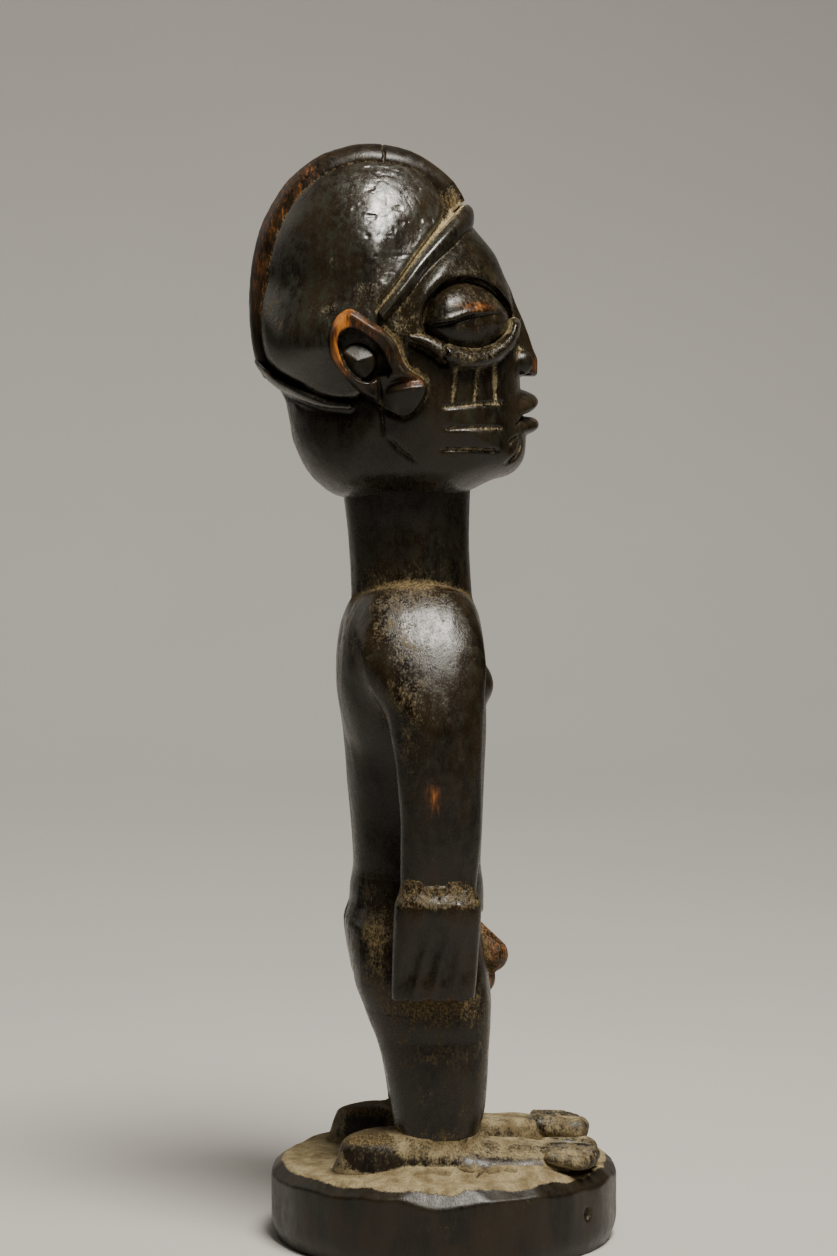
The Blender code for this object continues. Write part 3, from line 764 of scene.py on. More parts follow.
def head_base(x, f, z):
    """Distance to the plain head, before its features: a rounded face and a roof of hair."""
    depth = read_map(depth_map, f, z)
    low = ease(212, 190, z)
    hair = ease(9, -9, read_map(hair_map, f, z)) * ease(222, 240, z)
    swell = FACE_SWELL - 12 * low + (HAIR_SWELL - FACE_SWELL) * hair
    half = HALF_WIDTH - 2.6 * low
    power = FACE_POWER + (HAIR_POWER - FACE_POWER) * hair
    rise = 2.0 + (HAIR_POWER - 2) * hair
    t = 1 - np.minimum(depth / swell, 1)
    ratio = np.maximum(np.abs(x) / half, 1e-4)
    steep = np.maximum(np.abs(t), 1e-4)
    value = np.sign(t) * steep**rise + ratio**power - 1
    slope = np.hypot(rise * steep ** (rise - 1) / swell, power * ratio ** (power - 1) / half)
    return np.clip(value / np.maximum(slope, 0.02), -14, 60)


def sheet(value, base, thickness):
    """Keep only the outermost layer of a form."""
    return np.maximum(value, -(base + thickness))


CREST_RISE = 1.65


def crest_half(f):
    """Half the crest's width: it narrows towards the forehead."""
    return 5.7 - 2.4 * ease(-16, 3, f)


NOSE = Column([
    (211, 22.4, 6, 0, 5, 2),
    (216.2, 23, 6, 0, 5.2, 2),
    (218.6, 23, 6, 0, 5, 2),
    (222, 21.9, 6, 0, 4.1, 2),
    (227.4, 20, 6, 0, 3.6, 2),
    (232, 18.1, 6, 0, 3.5, 2),
    (238, 15.4, 6, 0, 4, 2),
    (244, 11.4, 4, 0, 4.5, 2),
])


def nose_form(x, f, z):
    side = np.abs(x)
    bridge = NOSE.distance(x, f, z)
    bridge = meet(bridge, 214.9 - z + 0.25 * side, 1.2)
    wing = ball(side, f, z, (5, 18.6, 218.6), (2.9, 3, 3))
    nostril = ball(side, f, z, (2.9, 20.4, 214.6), (1.3, 1.5, 1.3))
    crease = ball(side, f, z, (5.6, 18.6, 222.4), (1.6, 2.4, 1))
    nose = meet(join(bridge, wing, 0.5), -nostril, 0.4)
    return meet(nose, -crease, 0.5)


def lips_form(x, f, z):
    drop = 0.02 * x * x
    upper = ball(x, f, z + drop, (0, 14, 208.7), (10.8, 9.2, 3.7))
    upper = meet(upper, 206.1 - z - drop * 0.6, 0.7)
    lower = ball(x, f, z + drop * 0.4, (0, 13.8, 203.1), (10.6, 9.6, 3.4))
    lower = meet(lower, z + drop * 0.5 - 204.9, 0.7)
    return np.minimum(upper, lower)


def skin_marks(x, f, z):
    """Uneven knife work on the head."""
    return 0.16 * np.abs(noise(x, f, z, 7, 3)) + 0.07 * noise(x, f, z, 2.6, 6) - 0.08


def core_form(x, f, z):
    base = head_base(x, f, z)
    near_edge = ease(1, 5, np.abs(x))
    groove = 0.9 * bump(np.abs(x) - crest_half(f) - 0.8, 1)
    groove *= ease(-0.5, -3, read_map(hair_map, f, z))
    lowered = read_map(maps["core"], f, z)
    hair_part = -1.3 * ease(0.6, -0.6, read_map(hair_map, f, z))
    face = base - hair_part - (lowered - hair_part) * near_edge
    face = join(face, nose_form(x, f, z), 0.9)
    face = join(face, lips_form(x, f, z), 0.6)
    mouth = np.hypot(z - 205.5 + 0.012 * x * x, np.maximum(17.0 - f, 0)) - 0.35
    return meet(face, -mouth, 0.3) + skin_marks(x, f, z) + groove


def panel_form(x, f, z):
    base = head_base(x, f, z)
    surface = base - read_map(maps["panel"], f, z)
    front_top = ease(-34, -20, f) * ease(228, 246, z)
    pocks = ease(0.35, 0.75, noise(x, f, z, 1.6, 9)) * front_top
    scratch = bump(noise(x, f, z, (5, 2.5, 3), 4) - 0.1, 0.05) * front_top
    surface = surface + 0.16 * pocks + 0.07 * scratch + 0.12 * noise(x, f, z, 6, 2)
    surface = surface + 0.05 * noise(x, f, z, 1.3, 7) * front_top + 0.10 * np.abs(
        noise(x, f, z, (9, 9, 6), 5))
    side_gap = crest_half(f) + 1.3 + 1.4 * ease(-8, 0, f) - np.abs(x)
    value = meet(surface, side_gap, 1)
    value = np.maximum(value, read_map(panel_map, f, z))
    return sheet(value, base, 3.5)


def crest_form(x, f, z):
    base = head_base(x, f, z)
    across = np.clip(np.abs(x) / crest_half(f), 0, 1)
    surface = base - CREST_RISE * np.sqrt(1 - across**4)
    surface = surface + 0.14 * noise(x, f, z, 6, 4) + 0.10 * np.abs(noise(x, f, z, 3, 1))
    crack = 0.8 * bump(f + 15.2 + 0.2 * np.sin(x * 1.7), 0.25) * ease(250, 262, z)
    value = np.maximum(surface + crack, np.abs(x) - crest_half(f))
    front_end = read_map(ridge_map, f, z)
    value = np.maximum(value, 0.3 - front_end)
    value = np.maximum(value, read_map(hair_map, f, z) + 0.4)
    return sheet(value, base, 3.5)


def plate(name, outline, thickness, strength, size, shift):
    """A raised part of the head inside its outline, with noise of this strength and size."""
    def form(x, f, z):
        base = head_base(x, f, z)
        surface = base - read_map(maps[name], f, z) + strength * noise(x, f, z, size, shift)
        return sheet(np.maximum(surface, read_map(outline, f, z)), base, thickness)
    return form


ridge_form = plate("ridge", ridge_map, 3, 0.10, 5, 6)
nape_form = plate("nape", nape_map - 1.5, 2.6, 0.12, 3, 6)
eye_form = plate("eye", eye_map, 5.4, 0.08, 4, 3)
lid_form = plate("lid", lid_map - lid_reach, 4, 0.10, 3, 8)
ear_form = plate("ear", ear_map, 3, 0.12, 4, 1)
HEAD_FORMS = (core_form, panel_form, crest_form, ridge_form, nape_form, eye_form, lid_form,
              ear_form)


def head_all(x, f, z):
    value = HEAD_FORMS[0](x, f, z)
    for form in HEAD_FORMS[1:]:
        value = np.minimum(value, form(x, f, z))
    return value


def body_all(x, f, z):
    value = np.minimum(body_form(x, f, z), hands_form(x, f, z))
    value = np.minimum(value, boss_form(x, f, z))
    value = np.minimum(value, standing_feet_form(x, f, z))
    return np.minimum(value, plinth_form(x, f, z))


# --------------------------------------------------------------------- meshing

BLOCK = 6
CHUNK = 300_000
MOST_TRIANGLES = 190_000


def in_chunks(form, x, f, z):
    out = np.empty(len(x))
    for start in range(0, len(x), CHUNK):
        part = slice(start, start + CHUNK)
        out[part] = form(x[part], f[part], z[part])
    return out


def sample(form, low, high, step):
    """Distances on a grid: worked out in full near the surface, in blocks elsewhere."""
    counts = [int(math.ceil((h - l) / step / BLOCK)) for l, h in zip(low, high)]
    centres = [l + step * BLOCK * (np.arange(n) + 0.5) for l, n in zip(low, counts)]
    mid = [c.ravel() for c in np.meshgrid(*centres, indexing="ij")]
    rough = in_chunks(form, *mid)
    near = np.abs(rough) < step * BLOCK * 1.15 + 0.9
    shape = tuple(n * BLOCK for n in counts)
    values = np.empty(shape)
    blocks = values.reshape(counts[0], BLOCK, counts[1], BLOCK, counts[2], BLOCK)
    blocks = blocks.transpose(0, 2, 4, 1, 3, 5)
    blocks[:] = (np.sign(rough) * 3 * step).reshape(counts)[:, :, :, None, None, None]
    offsets = (np.arange(BLOCK) - BLOCK / 2) * step
    dx, df, dz = (d.ravel() for d in np.meshgrid(offsets, offsets, offsets, indexing="ij"))
    x = (mid[0][near][:, None] + dx).ravel()
    f = (mid[1][near][:, None] + df).ravel()
    z = (mid[2][near][:, None] + dz).ravel()
    fine = in_chunks(form, x, f, z)
    blocks[near.reshape(counts)] = fine.reshape(-1, BLOCK, BLOCK, BLOCK)
    return values


CORNERS = [(i, j, k) for i in (0, 1) for j in (0, 1) for k in (0, 1)]
EDGES = [(a, b) for a in CORNERS for b in CORNERS if sum(b) - sum(a) == 1
         and all(q >= p for p, q in zip(a, b))]


def surface_net(values):
    """One point in each grid cell that the surface crosses, joined by four-sided faces."""
    inside = values < 0
    span = [s - 1 for s in values.shape]
    count = sum(inside[i:i + span[0], j:j + span[1], k:k + span[2]].astype(np.int8)
                for i, j, k in CORNERS)
    active = (count > 0) & (count < 8)
    cells = np.argwhere(active)
    number = np.full(active.shape, -1, np.int64)
    number[active] = np.arange(len(cells))
    total, hits = np.zeros((len(cells), 3)), np.zeros(len(cells))
    for a, b in EDGES:
        va = values[tuple((cells + a).T)]
        vb = values[tuple((cells + b).T)]
        crossing = (va < 0) != (vb < 0)
        t = va / np.where(crossing, va - vb, 1)
        point = np.array(a) + t[:, None] * (np.array(b) - np.array(a))
        total += np.where(crossing[:, None], point, 0)
        hits += crossing
    points = cells + total / hits[:, None]
    faces = []
    for axis in range(3):
        u, v = (axis + 1) % 3, (axis + 2) % 3
        first = [slice(1, None)] * 3
        second = [slice(1, None)] * 3
        first[axis], second[axis] = slice(None, -1), slice(1, None)
        change = inside[tuple(first)] != inside[tuple(second)]
        at = np.argwhere(change)
        at[:, u] += 1
        at[:, v] += 1
        outward = inside[tuple(at.T)]
        ring = []
        for du, dv in ((-1, -1), (0, -1), (0, 0), (-1, 0)):
            cell = at.copy()
            cell[:, u] += du
            cell[:, v] += dv
            keep = np.clip(cell, 0, np.array(active.shape) - 1)
            ring.append(number[tuple(keep.T)])
        quads = np.stack(ring, 1)
        quads[~outward] = quads[~outward][:, ::-1]
        faces.append(quads)
    return points, np.vstack(faces)


def biggest_part(points, faces):
    """Drop crumbs that aren't joined to the main surface."""
    label = np.arange(len(points))
    a, b = faces.ravel(), np.roll(faces, 1, axis=1).ravel()
    while True:
        low = np.minimum(label[a], label[b])
        fresh = label.copy()
        np.minimum.at(fresh, a, low)
        np.minimum.at(fresh, b, low)
        fresh = fresh[fresh]
        if (fresh == label).all():
            break
        label = fresh
    names, sizes = np.unique(label, return_counts=True)
    keep = label == names[np.argmax(sizes)]
    number = np.cumsum(keep) - 1
    return points[keep], number[faces[keep[faces[:, 0]]]]


def gradient(form, points, value, reach):
    slope = np.empty(points.shape)
    for axis in range(3):
        moved = points.copy()
        moved[:, axis] += reach
        slope[:, axis] = (in_chunks(form, *moved.T) - value) / reach
    return slope


def settle(form, points, step):
    """Move the points onto the true surface."""
    for _ in range(2):
        value = in_chunks(form, *points.T)
        slope = gradient(form, points, value, 0.12 * step)
        size = np.maximum((slope**2).sum(1), 0.3)
        points = points - slope * (np.clip(value, -0.6 * step, 0.6 * step) / size)[:, None]
    return points


def openness(form, points, normals):
    """How deep in a hollow, and how far out on an edge, each point lies, from 0 to 1."""
    hollow = np.zeros(len(points))
    for reach, weight in ((0.7, 0.45), (2, 0.35), (5, 0.2)):
        free = in_chunks(form, *(points + normals * reach).T) / reach
        hollow += weight * np.clip(1 - free, 0, 1)
    buried = in_chunks(form, *(points - normals * 1.1).T) / 1.1
    return np.clip(hollow, 0, 1), np.clip(1 + buried, 0, 1)


def thin_out(piece, share):
    """Merge the smallest faces until only this share of the triangles is left."""
    thinner = piece.modifiers.new("thinner", "DECIMATE")
    thinner.ratio = share
    thin = bpy.data.meshes.new_from_object(
        piece.evaluated_get(bpy.context.evaluated_depsgraph_get())
    )
    piece.modifiers.clear()
    drawn, piece.data = piece.data, thin
    bpy.data.meshes.remove(drawn)
    thin.name = piece.name


def sculpt(name, form, around, low, high, step, masks):
    """Draw a closed mesh through a form, with its wear and dust stored on its points."""
    low, high = np.asarray(low, float), np.asarray(high, float)
    points, faces = biggest_part(*surface_net(sample(form, low, high, step)))
    points = settle(form, low + points * step, step)
    value = in_chunks(form, *points.T)
    normals = gradient(form, points, value, 0.1)
    normals /= np.maximum(np.linalg.norm(normals, axis=1, keepdims=True), 1e-6)
    hollow, edge = openness(around, points, normals)
    mesh = bpy.data.meshes.new(name)
    coords = points * (MM, -MM, MM)
    mesh.vertices.add(len(coords))
    mesh.vertices.foreach_set("co", coords.ravel())
    faces = faces[:, ::-1]
    mesh.loops.add(faces.size)
    mesh.loops.foreach_set("vertex_index", faces.ravel())
    mesh.polygons.add(len(faces))
    mesh.polygons.foreach_set("loop_start", np.arange(0, faces.size, 4))
    mesh.update(calc_edges=True)
    mesh.shade_smooth()
    layers = dict.fromkeys(("wear", "dust", "pale", "crust"), 0 * hollow)
    for layer, amounts in (layers | {"hollow": hollow} | masks(points, hollow, edge)).items():
        store = mesh.attributes.new(layer, "FLOAT", "POINT")
        store.data.foreach_set("value", amounts.astype(np.float32))
    piece = bpy.data.objects.new(name, mesh)
    bpy.context.scene.collection.objects.link(piece)
    if 2 * len(faces) > MOST_TRIANGLES:
        thin_out(piece, MOST_TRIANGLES / (2 * len(faces)))
    return piece


# ------------------------------------------------------------------- materials


class Shader:
    """Short ways to add and join nodes in one material."""

    def __init__(self, name):
        self.material = bpy.data.materials.new(name)
        self.material.use_nodes = True
        self.nodes = self.material.node_tree.nodes
        self.links = self.material.node_tree.links
        self.surface = self.nodes["Principled BSDF"]
        self.place = self.nodes.new("ShaderNodeTexCoord").outputs["Object"]

    def link(self, out, into):
        self.links.new(out, into)

    def feed(self, value, into):
        if isinstance(value, bpy.types.NodeSocket):
            self.link(value, into)
        else:
            into.default_value = value

    def math(self, operation, a, b=0, clamp=False):
        node = self.nodes.new("ShaderNodeMath")
        node.operation = operation
        node.use_clamp = clamp
        self.feed(a, node.inputs[0])
        self.feed(b, node.inputs[1])
        return node.outputs[0]

    def around_half(self, value, swings):
        """The value moved up and down by noises whose middle is one half."""
        for swing, strength in swings:
            lean = self.math("MULTIPLY", self.math("SUBTRACT", swing, 0.5), strength)
            value = self.math("ADD", value, lean)
        return value

    def patchy(self, amount, swings, low, high, gate_low, gate_high):
        """An amount broken up by noises, and none where it is nearly nothing."""
        broken = self.ramp(self.around_half(amount, swings), low, high)
        return self.math("MULTIPLY", broken, self.ramp(amount, gate_low, gate_high))

    def amount(self, name):
        node = self.nodes.new("ShaderNodeAttribute")
        node.attribute_name = name
        return node.outputs["Fac"]

    def texture(self, size_mm, detail=4, stretch=(1, 1, 1), rough=0.55, shift=0):
        """Noise with waves of about this size; stretch makes them longer along an axis."""
        mapping = self.nodes.new("ShaderNodeMapping")
        self.link(self.place, mapping.inputs["Vector"])
        mapping.inputs["Scale"].default_value = [1 / s for s in stretch]
        mapping.inputs["Location"].default_value = (shift, shift * 0.7, shift * 1.3)
        node = self.nodes.new("ShaderNodeTexNoise")
        self.link(mapping.outputs[0], node.inputs["Vector"])
        node.inputs["Scale"].default_value = 1 / (size_mm * MM)
        node.inputs["Detail"].default_value = detail
        node.inputs["Roughness"].default_value = rough
        return node.outputs["Fac"]

    def ramp(self, value, low, high, out_low=0, out_high=1):
        node = self.nodes.new("ShaderNodeMapRange")
        node.interpolation_type = "SMOOTHSTEP"
        self.link(value, node.inputs["Value"])
        for key, number in (("From Min", low), ("From Max", high),
                            ("To Min", out_low), ("To Max", out_high)):
            node.inputs[key].default_value = number
        return node.outputs["Result"]

    def mix(self, factor, a, b):
        node = self.nodes.new("ShaderNodeMix")
        node.data_type = "RGBA"
        self.feed(factor, node.inputs[0])
        for value, key in ((a, 6), (b, 7)):
            self.feed(value if isinstance(value, bpy.types.NodeSocket) else (*value, 1),
                      node.inputs[key])
        return node.outputs[2]

    def blend(self, factor, a, b):
        """Mix two numbers."""
        node = self.nodes.new("ShaderNodeMix")
        self.feed(factor, node.inputs[0])
        self.feed(a, node.inputs[2])
        self.feed(b, node.inputs[3])
        return node.outputs[0]

    def raise_by(self, height, strength, distance_mm, under=None):
        node = self.nodes.new("ShaderNodeBump")
        node.inputs["Strength"].default_value = strength
        node.inputs["Distance"].default_value = distance_mm * MM
        self.link(height, node.inputs["Height"])
        if under is not None:
            self.link(under, node.inputs["Normal"])
        return node.outputs["Normal"]

    def see_through_from_behind(self):
        """Back faces let everything through, so that a camera behind a wall sees past it."""
        behind = self.nodes.new("ShaderNodeNewGeometry").outputs["Backfacing"]
        clear = self.nodes.new("ShaderNodeBsdfTransparent")
        choice = self.nodes.new("ShaderNodeMixShader")
        self.link(behind, choice.inputs[0])
        self.link(self.surface.outputs[0], choice.inputs[1])
        self.link(clear.outputs[0], choice.inputs[2])
        self.link(choice.outputs[0], self.nodes["Material Output"].inputs["Surface"])


BLACK_BROWN = (0.0040, 0.0028, 0.0014)
DEEP_BROWN = (0.0170, 0.0108, 0.0048)
GREY_GREEN = (0.0150, 0.0155, 0.0092)
RUBBED_RED = (0.080, 0.028, 0.009)
RUBBED_ORANGE = (0.36, 0.125, 0.020)
OCHRE = (0.066, 0.046, 0.021)
GOLD = (0.170, 0.124, 0.058)
BEIGE = (0.150, 0.115, 0.062)
CREAM = (0.36, 0.29, 0.165)
CRUST_PALE = (0.28, 0.230, 0.132)
CRUST_MID = (0.125, 0.092, 0.047)
# Darkest crust tone; also the painted shade deep in the crust's hollows.
CRUST_DARK_AND_SHADE = (0.040, 0.027, 0.014)
FLOOR_DARK, FLOOR_LIGHT = (0.43, 0.415, 0.39), (0.47, 0.455, 0.43)


def patina(name, grey=0.5, gloss=0.30, sheen=0.30):
    """Old handled wood: black-brown skin, rubbed edges, dust in the hollows, and painted shade deep in
    the hollows of caked dust.
    """
    s = Shader(name)
    cloud = s.texture(9, 5, (1, 1, 2.2))
    grain = s.texture(0.55, 3, (1, 1, 9), shift=0.4)
    mottle = s.texture(2.2, 5, (1, 1, 1.6), 0.65, shift=0.2)
    fine = s.texture(0.5, 3, (1, 1, 1.3), shift=0.7)
    colour = s.mix(s.ramp(cloud, 0.36, 0.64), BLACK_BROWN, DEEP_BROWN)
    colour = s.mix(s.math("MULTIPLY", s.ramp(mottle, 0.40, 0.64), grey), colour, GREY_GREEN)
    streak = s.math("MULTIPLY", s.ramp(grain, 0.48, 0.68), 0.6)
    colour = s.mix(streak, colour, DEEP_BROWN)

    wear = s.amount("wear")
    swings = ((mottle, 0.9), (grain, 1), (fine, 0.4))
    rubbed = s.patchy(wear, swings, 0.16, 0.66, 0.03, 0.18)
    deep_rub = s.around_half(wear, ((grain, 1.4), (mottle, 0.8)))
    rub_colour = s.mix(s.ramp(deep_rub, 0.40, 0.95), RUBBED_RED, RUBBED_ORANGE)
    colour = s.mix(rubbed, colour, rub_colour)

    swings = ((mottle, 1.1), (fine, 1))
    # On the head the dust amount also holds a film that is partly painted sheen.
    dusty = s.patchy(s.amount("dust"), swings, 0.16, 0.80, 0.03, 0.16)
    golden = s.mix(s.ramp(fine, 0.42, 0.60), OCHRE, GOLD)
    creamy = s.mix(s.ramp(fine, 0.36, 0.60), BEIGE, CREAM)
    powder = s.mix(s.ramp(s.amount("pale"), 0.1, 0.6), golden, creamy)
    colour = s.mix(s.math("MULTIPLY", dusty, 0.85), colour, powder)

    swings = ((mottle, 1.1), (fine, 0.7))
    cake = s.patchy(s.amount("crust"), swings, 0.14, 0.66, 0.02, 0.2)
    banks = s.texture(5, 6, (1, 1, 1), 0.6, shift=0.9)
    cake_colour = s.mix(s.ramp(banks, 0.30, 0.66), CRUST_MID, CRUST_PALE)
    cake_colour = s.mix(s.ramp(mottle, 0.52, 0.36, 0, 0.4), cake_colour, CRUST_MID)
    cake_colour = s.mix(s.ramp(fine, 0.50, 0.36, 0, 0.4), cake_colour, CRUST_DARK_AND_SHADE)
    colour = s.mix(cake, colour, cake_colour)
    # Painted shade: caked dust turns to its darkest tone the deeper it lies in a hollow.
    deep = s.ramp(s.amount("hollow"), 0.36, 0.80, 0, 0.85)
    colour = s.mix(s.math("MULTIPLY", deep, cake), colour, CRUST_DARK_AND_SHADE)
    s.link(colour, s.surface.inputs["Base Color"])

    rough = s.blend(s.ramp(mottle, 0.35, 0.7), gloss, gloss + 0.13)
    rough = s.blend(s.math("MULTIPLY", s.ramp(fine, 0.5, 0.62), 0.35), rough, 0.55)
    rough = s.blend(rubbed, rough, 0.38)
    rough = s.blend(dusty, rough, 0.80)
    rough = s.blend(cake, rough, 0.92)
    s.link(rough, s.surface.inputs["Roughness"])
    matt = s.math("MULTIPLY", s.math("MAXIMUM", dusty, cake), 0.35)
    s.link(s.math("SUBTRACT", sheen, s.math("MULTIPLY", matt, sheen * 2)),
           s.surface.inputs["Specular IOR Level"])

    relief = s.raise_by(mottle, 0.40, 0.16)
    relief = s.raise_by(grain, 0.40, 0.08, relief)
    grit = s.math("ADD", s.math("MAXIMUM", dusty, cake), 0.35)
    relief = s.raise_by(s.math("MULTIPLY", fine, grit), 0.6, 0.14, relief)
    s.link(relief, s.surface.inputs["Normal"])
    return s.material


# ----------------------------------------------------------------- wear masks


def patch(points, centre, radii):
    """1 at the centre of a soft ellipsoid, falling to nothing outside."""
    return np.exp(-(((points - centre) / radii) ** 2).sum(1))


def side_patch(points, centre, radii):
    """The same patch on both sides of the figure."""
    return patch(np.abs(points * (1, 0, 0)) + points * (0, 1, 1), centre, radii)


BARE_WOOD = (-36, -4.6, 114.5)  # a bright rubbed patch on the right arm


def body_masks(points, hollow, edge):
    x, f, z = points.T
    random = noise(x, f, z, 5, 12)
    worn = 0.60 * patch(points, BARE_WOOD, (4, 2.3, 4.4))
    worn += 0.40 * ease(0.30, 0.6, edge)
    ankle = side_patch(points, (26, 1, 35), (9, 4.5, 7))
    worn += 0.30 * ankle * ease(-0.3, 0.4, random)
    dust = 0.8 * ease(0.2, 0.55, hollow)
    neck_line = bump(z - shoulder_roof(x, f) + 0.4, 1) * bump(np.hypot(x, f + 8) - 14.5, 3)
    dust = dust + 0.55 * neck_line + 0.08
    shoulder = ease(126, 152, z) * ease(172, 164, z) * ease(6, -6, f)
    shoulder *= (1 - side_patch(points, (33, -3.5, 148), (12, 5, 13)))
    dust += 0.22 * shoulder * ease(-0.6, 0.5, random)
    dust += 0.22 * side_patch(points, (31, -11, 133), (8, 4, 14))
    seat = side_patch(points, (20, -20, 80), (11, 7, 12))
    dust += 0.50 * seat * ease(-0.9, 0.3, random)
    dust += 0.60 * side_patch(points, (26, -4, 62.5), (9, 13, 4.6))
    dust += 0.30 * bump(z - WRIST_Z + 0.6, 1.6) * ease(23, 25, np.abs(x))
    dust += 0.22 * ease(66, 46, z) * ease(-0.5, 0.5, random)
    crust = 0.9 * ease(31, 27, z) * ease(0.1, 0.45, hollow)
    return {"wear": worn, "dust": dust, "crust": crust}


def hand_masks(points, hollow, edge):
    x, f, z = points.T
    cuff = ease(WRIST_Z - 3.9, WRIST_Z - 2.7, z + 0.4 * noise(x, f, z, 2, 3))
    dust = 0.34 * cuff + 0.20 * ease(0.25, 0.6, hollow) + 0.08
    worn = 0.40 * ease(0.30, 0.6, edge)
    return {"wear": worn, "dust": dust}


def boss_masks(points, hollow, edge):
    worn = 0.42 + 0.4 * ease(0.15, 0.5, edge)
    return {"wear": worn, "dust": 0.34 + 0.6 * ease(0.1, 0.4, hollow)}


def plinth_masks(points, hollow, edge):
    x, f, z = points.T
    radius = np.hypot(x, f)
    ragged = 0.9 * noise(x, f, z, 4, 1)
    top = ease(PLINTH_TOP - 1.5, PLINTH_TOP - 0.5, z + 0.4 * ragged)
    top *= ease(PLINTH_RADIUS - 2.2, PLINTH_RADIUS - 3.6, radius + ragged)
    worn = 0.85 * ease(0.14, 0.42, edge) * ease(10, 15, z) + 0.05
    dust = 0.12 * ease(-0.1, 0.5, noise(x, f, z, 5, 7)) * ease(2, 10, z)
    dust += 0.7 * patch(points, HOLE, (3, 3, 2)) * ease(0.1, 0.4, hollow)
    worn *= (0.7 + 0.5 * noise(x, f, z, 4, 6))
    return {"wear": worn * (1 - top), "dust": dust * (1 - top), "crust": top}


def foot_masks(points, hollow, edge):
    x, f, z = points.T
    up = z - PLINTH_TOP
    random = noise(x, f, z, 5, 2)
    crust = 0.52 + 0.20 * random + 0.5 * ease(0.15, 0.5, hollow)
    crust -= 0.70 * ease(-11, -18, f) * ease(0.8, 2.4, up)
    crust -= 0.16 * ease(20, 27, f) * ease(2, 4, up)
    rim = bump(np.abs(x) - FOOT_SIDE - 8.8, 1.6) * bump(up - 4.4, 1.3) * (np.abs(f - 3) < 20)
    crust -= 0.45 * rim
    worn = 0.45 * ease(0.18, 0.45, edge) * ease(24, 34, f) + 0.10 * rim
    dust = 0.5 * ease(7, 9, up) * ease(16, 9, up) + 0.2
    return {"wear": worn, "dust": dust, "crust": np.clip(crust, 0, 1)}


def head_dust(points, hollow):
    """Pale dust: thick beside the hairline, thin in the other cuts, with a thin film round the eye that
    on the forehead is partly painted sheen.
    """
    x, f, z = points.T
    side = np.abs(x)
    off_middle = ease(3, 6, side)
    seat = ease(0.12, 0.42, hollow)
    groove = bump(read_map(ridge_top_map, f, z), 1.1) * ease(229, 234, z)
    groove *= (0.35 + 0.5 * ease(240, 252, z))
    recess = side_patch(points, (10, 1.6, 258.6), (9, 2.6, 3.2))
    crest_line = bump(np.abs(x) - crest_half(f) - 0.5, 0.9) * ease(216, 226, z)
    nose_side = side_patch(points, (8, 17, 226), (7, 2.6, 5))
    ear_front = bump(read_map(ear_map, f, z) - 0.4, 1) * ease(-19, -15, f)
    ear_front *= ease(213, 217, z)
    temple = side_patch(points, (26, -11.5, 230.5), (7, 3.2, 4.8))
    uprights = ease(209.5, 211, z)
    pale = seat * (0.95 * groove + 0.8 * nose_side) + 0.14 * temple
    pale += 0.45 * ear_front * ease(0.1, 0.35, hollow)
    on_cheek = ease(-4, -2.4, f) * ease(14, 13.2, f)
    shown = (0.60 + 0.20 * uprights) * (0.3 + 0.7 * on_cheek)
    pale += shown * read_map(cuts, f, z) * off_middle
    golden = 0.85 * recess + 0.34 * crest_line * ease(0.1, 0.4, hollow)
    golden += 0.26 * ease(0.34, 0.7, hollow)
    # A thin pale dust film round the eye and on the lower lid; over the forehead it is partly painted
    # sheen, and it goes into both dust and pale.
    dust_film_and_painted_sheen = 0.13 * side_patch(points, (18, 3, 232), (14, 13, 18))
    dust_film_and_painted_sheen += 0.09 * bump(read_map(lid_map, f, z), 3.4)
    return {"dust": pale + golden + dust_film_and_painted_sheen + 0.05, "pale": 3 * (pale + dust_film_and_painted_sheen)}


def head_masks(points, hollow, edge):
    worn = 0.55 * side_patch(points, (0, 22.6, 217.5), (5, 2.2, 2.8))
    worn += 0.34 * side_patch(points, (0, 22, 206), (9, 4, 4))
    worn += 0.16 * ease(0.25, 0.5, edge)
    return {"wear": worn} | head_dust(points, hollow)


def hair_masks(points, hollow, edge):
    x, f, z = points.T
    random = noise(x, f, z, 4, 4)
    layers = head_dust(points, hollow) | {"wear": 0.10 * ease(0.25, 0.5, edge)}
    layers["dust"] += 0.22 * ease(0, 0.7, random) * ease(250, 234, z)
    return layers


def crest_masks(points, hollow, edge):
    x, f, z = points.T
    worn = 0.22 * ease(-20, -38, f) * ease(216, 236, z)
    worn = worn + 0.18 * ease(264, 256, z) * ease(-8, 2, f) + 0.08
    return {"wear": worn} | head_dust(points, hollow)


def band_masks(points, hollow, edge):
    worn = 0.24 * ease(0.3, 0.7, edge)
    return {"wear": worn} | head_dust(points, 0.8 * hollow)


def eye_masks(points, hollow, edge):
    lid = side_patch(points, (20, 5.4, 232.6), (9, 5.4, 1.6))
    worn = 0.74 * lid + 0.22 * side_patch(points, (20, 7, 227), (9, 5, 2.4))
    return {"wear": worn} | head_dust(points, 0.5 * hollow)


def ear_masks(points, hollow, edge):
    x, f, z = points.T
    rim = ease(0, 0.8, read_map(hollow_map, f, z))
    high = ease(1.4, 3.2, read_map(maps["ear"], f, z))
    worn = rim * high * (0.20 + 0.48 * ease(-15, -25, f)) * ease(212, 218, z)
    worn *= (1.0 + 0.7 * noise(x, f, z, 3.2, 2))
    worn += 0.34 * side_patch(points, (30, -9.6, 214.8), (7, 3.4, 1.7))
    worn += 0.22 * side_patch(points, (28, -20, 213.6), (7, 3, 2))
    return {"wear": worn} | head_dust(points, 0.7 * hollow)


# ---------------------------------------------------------------- the pieces

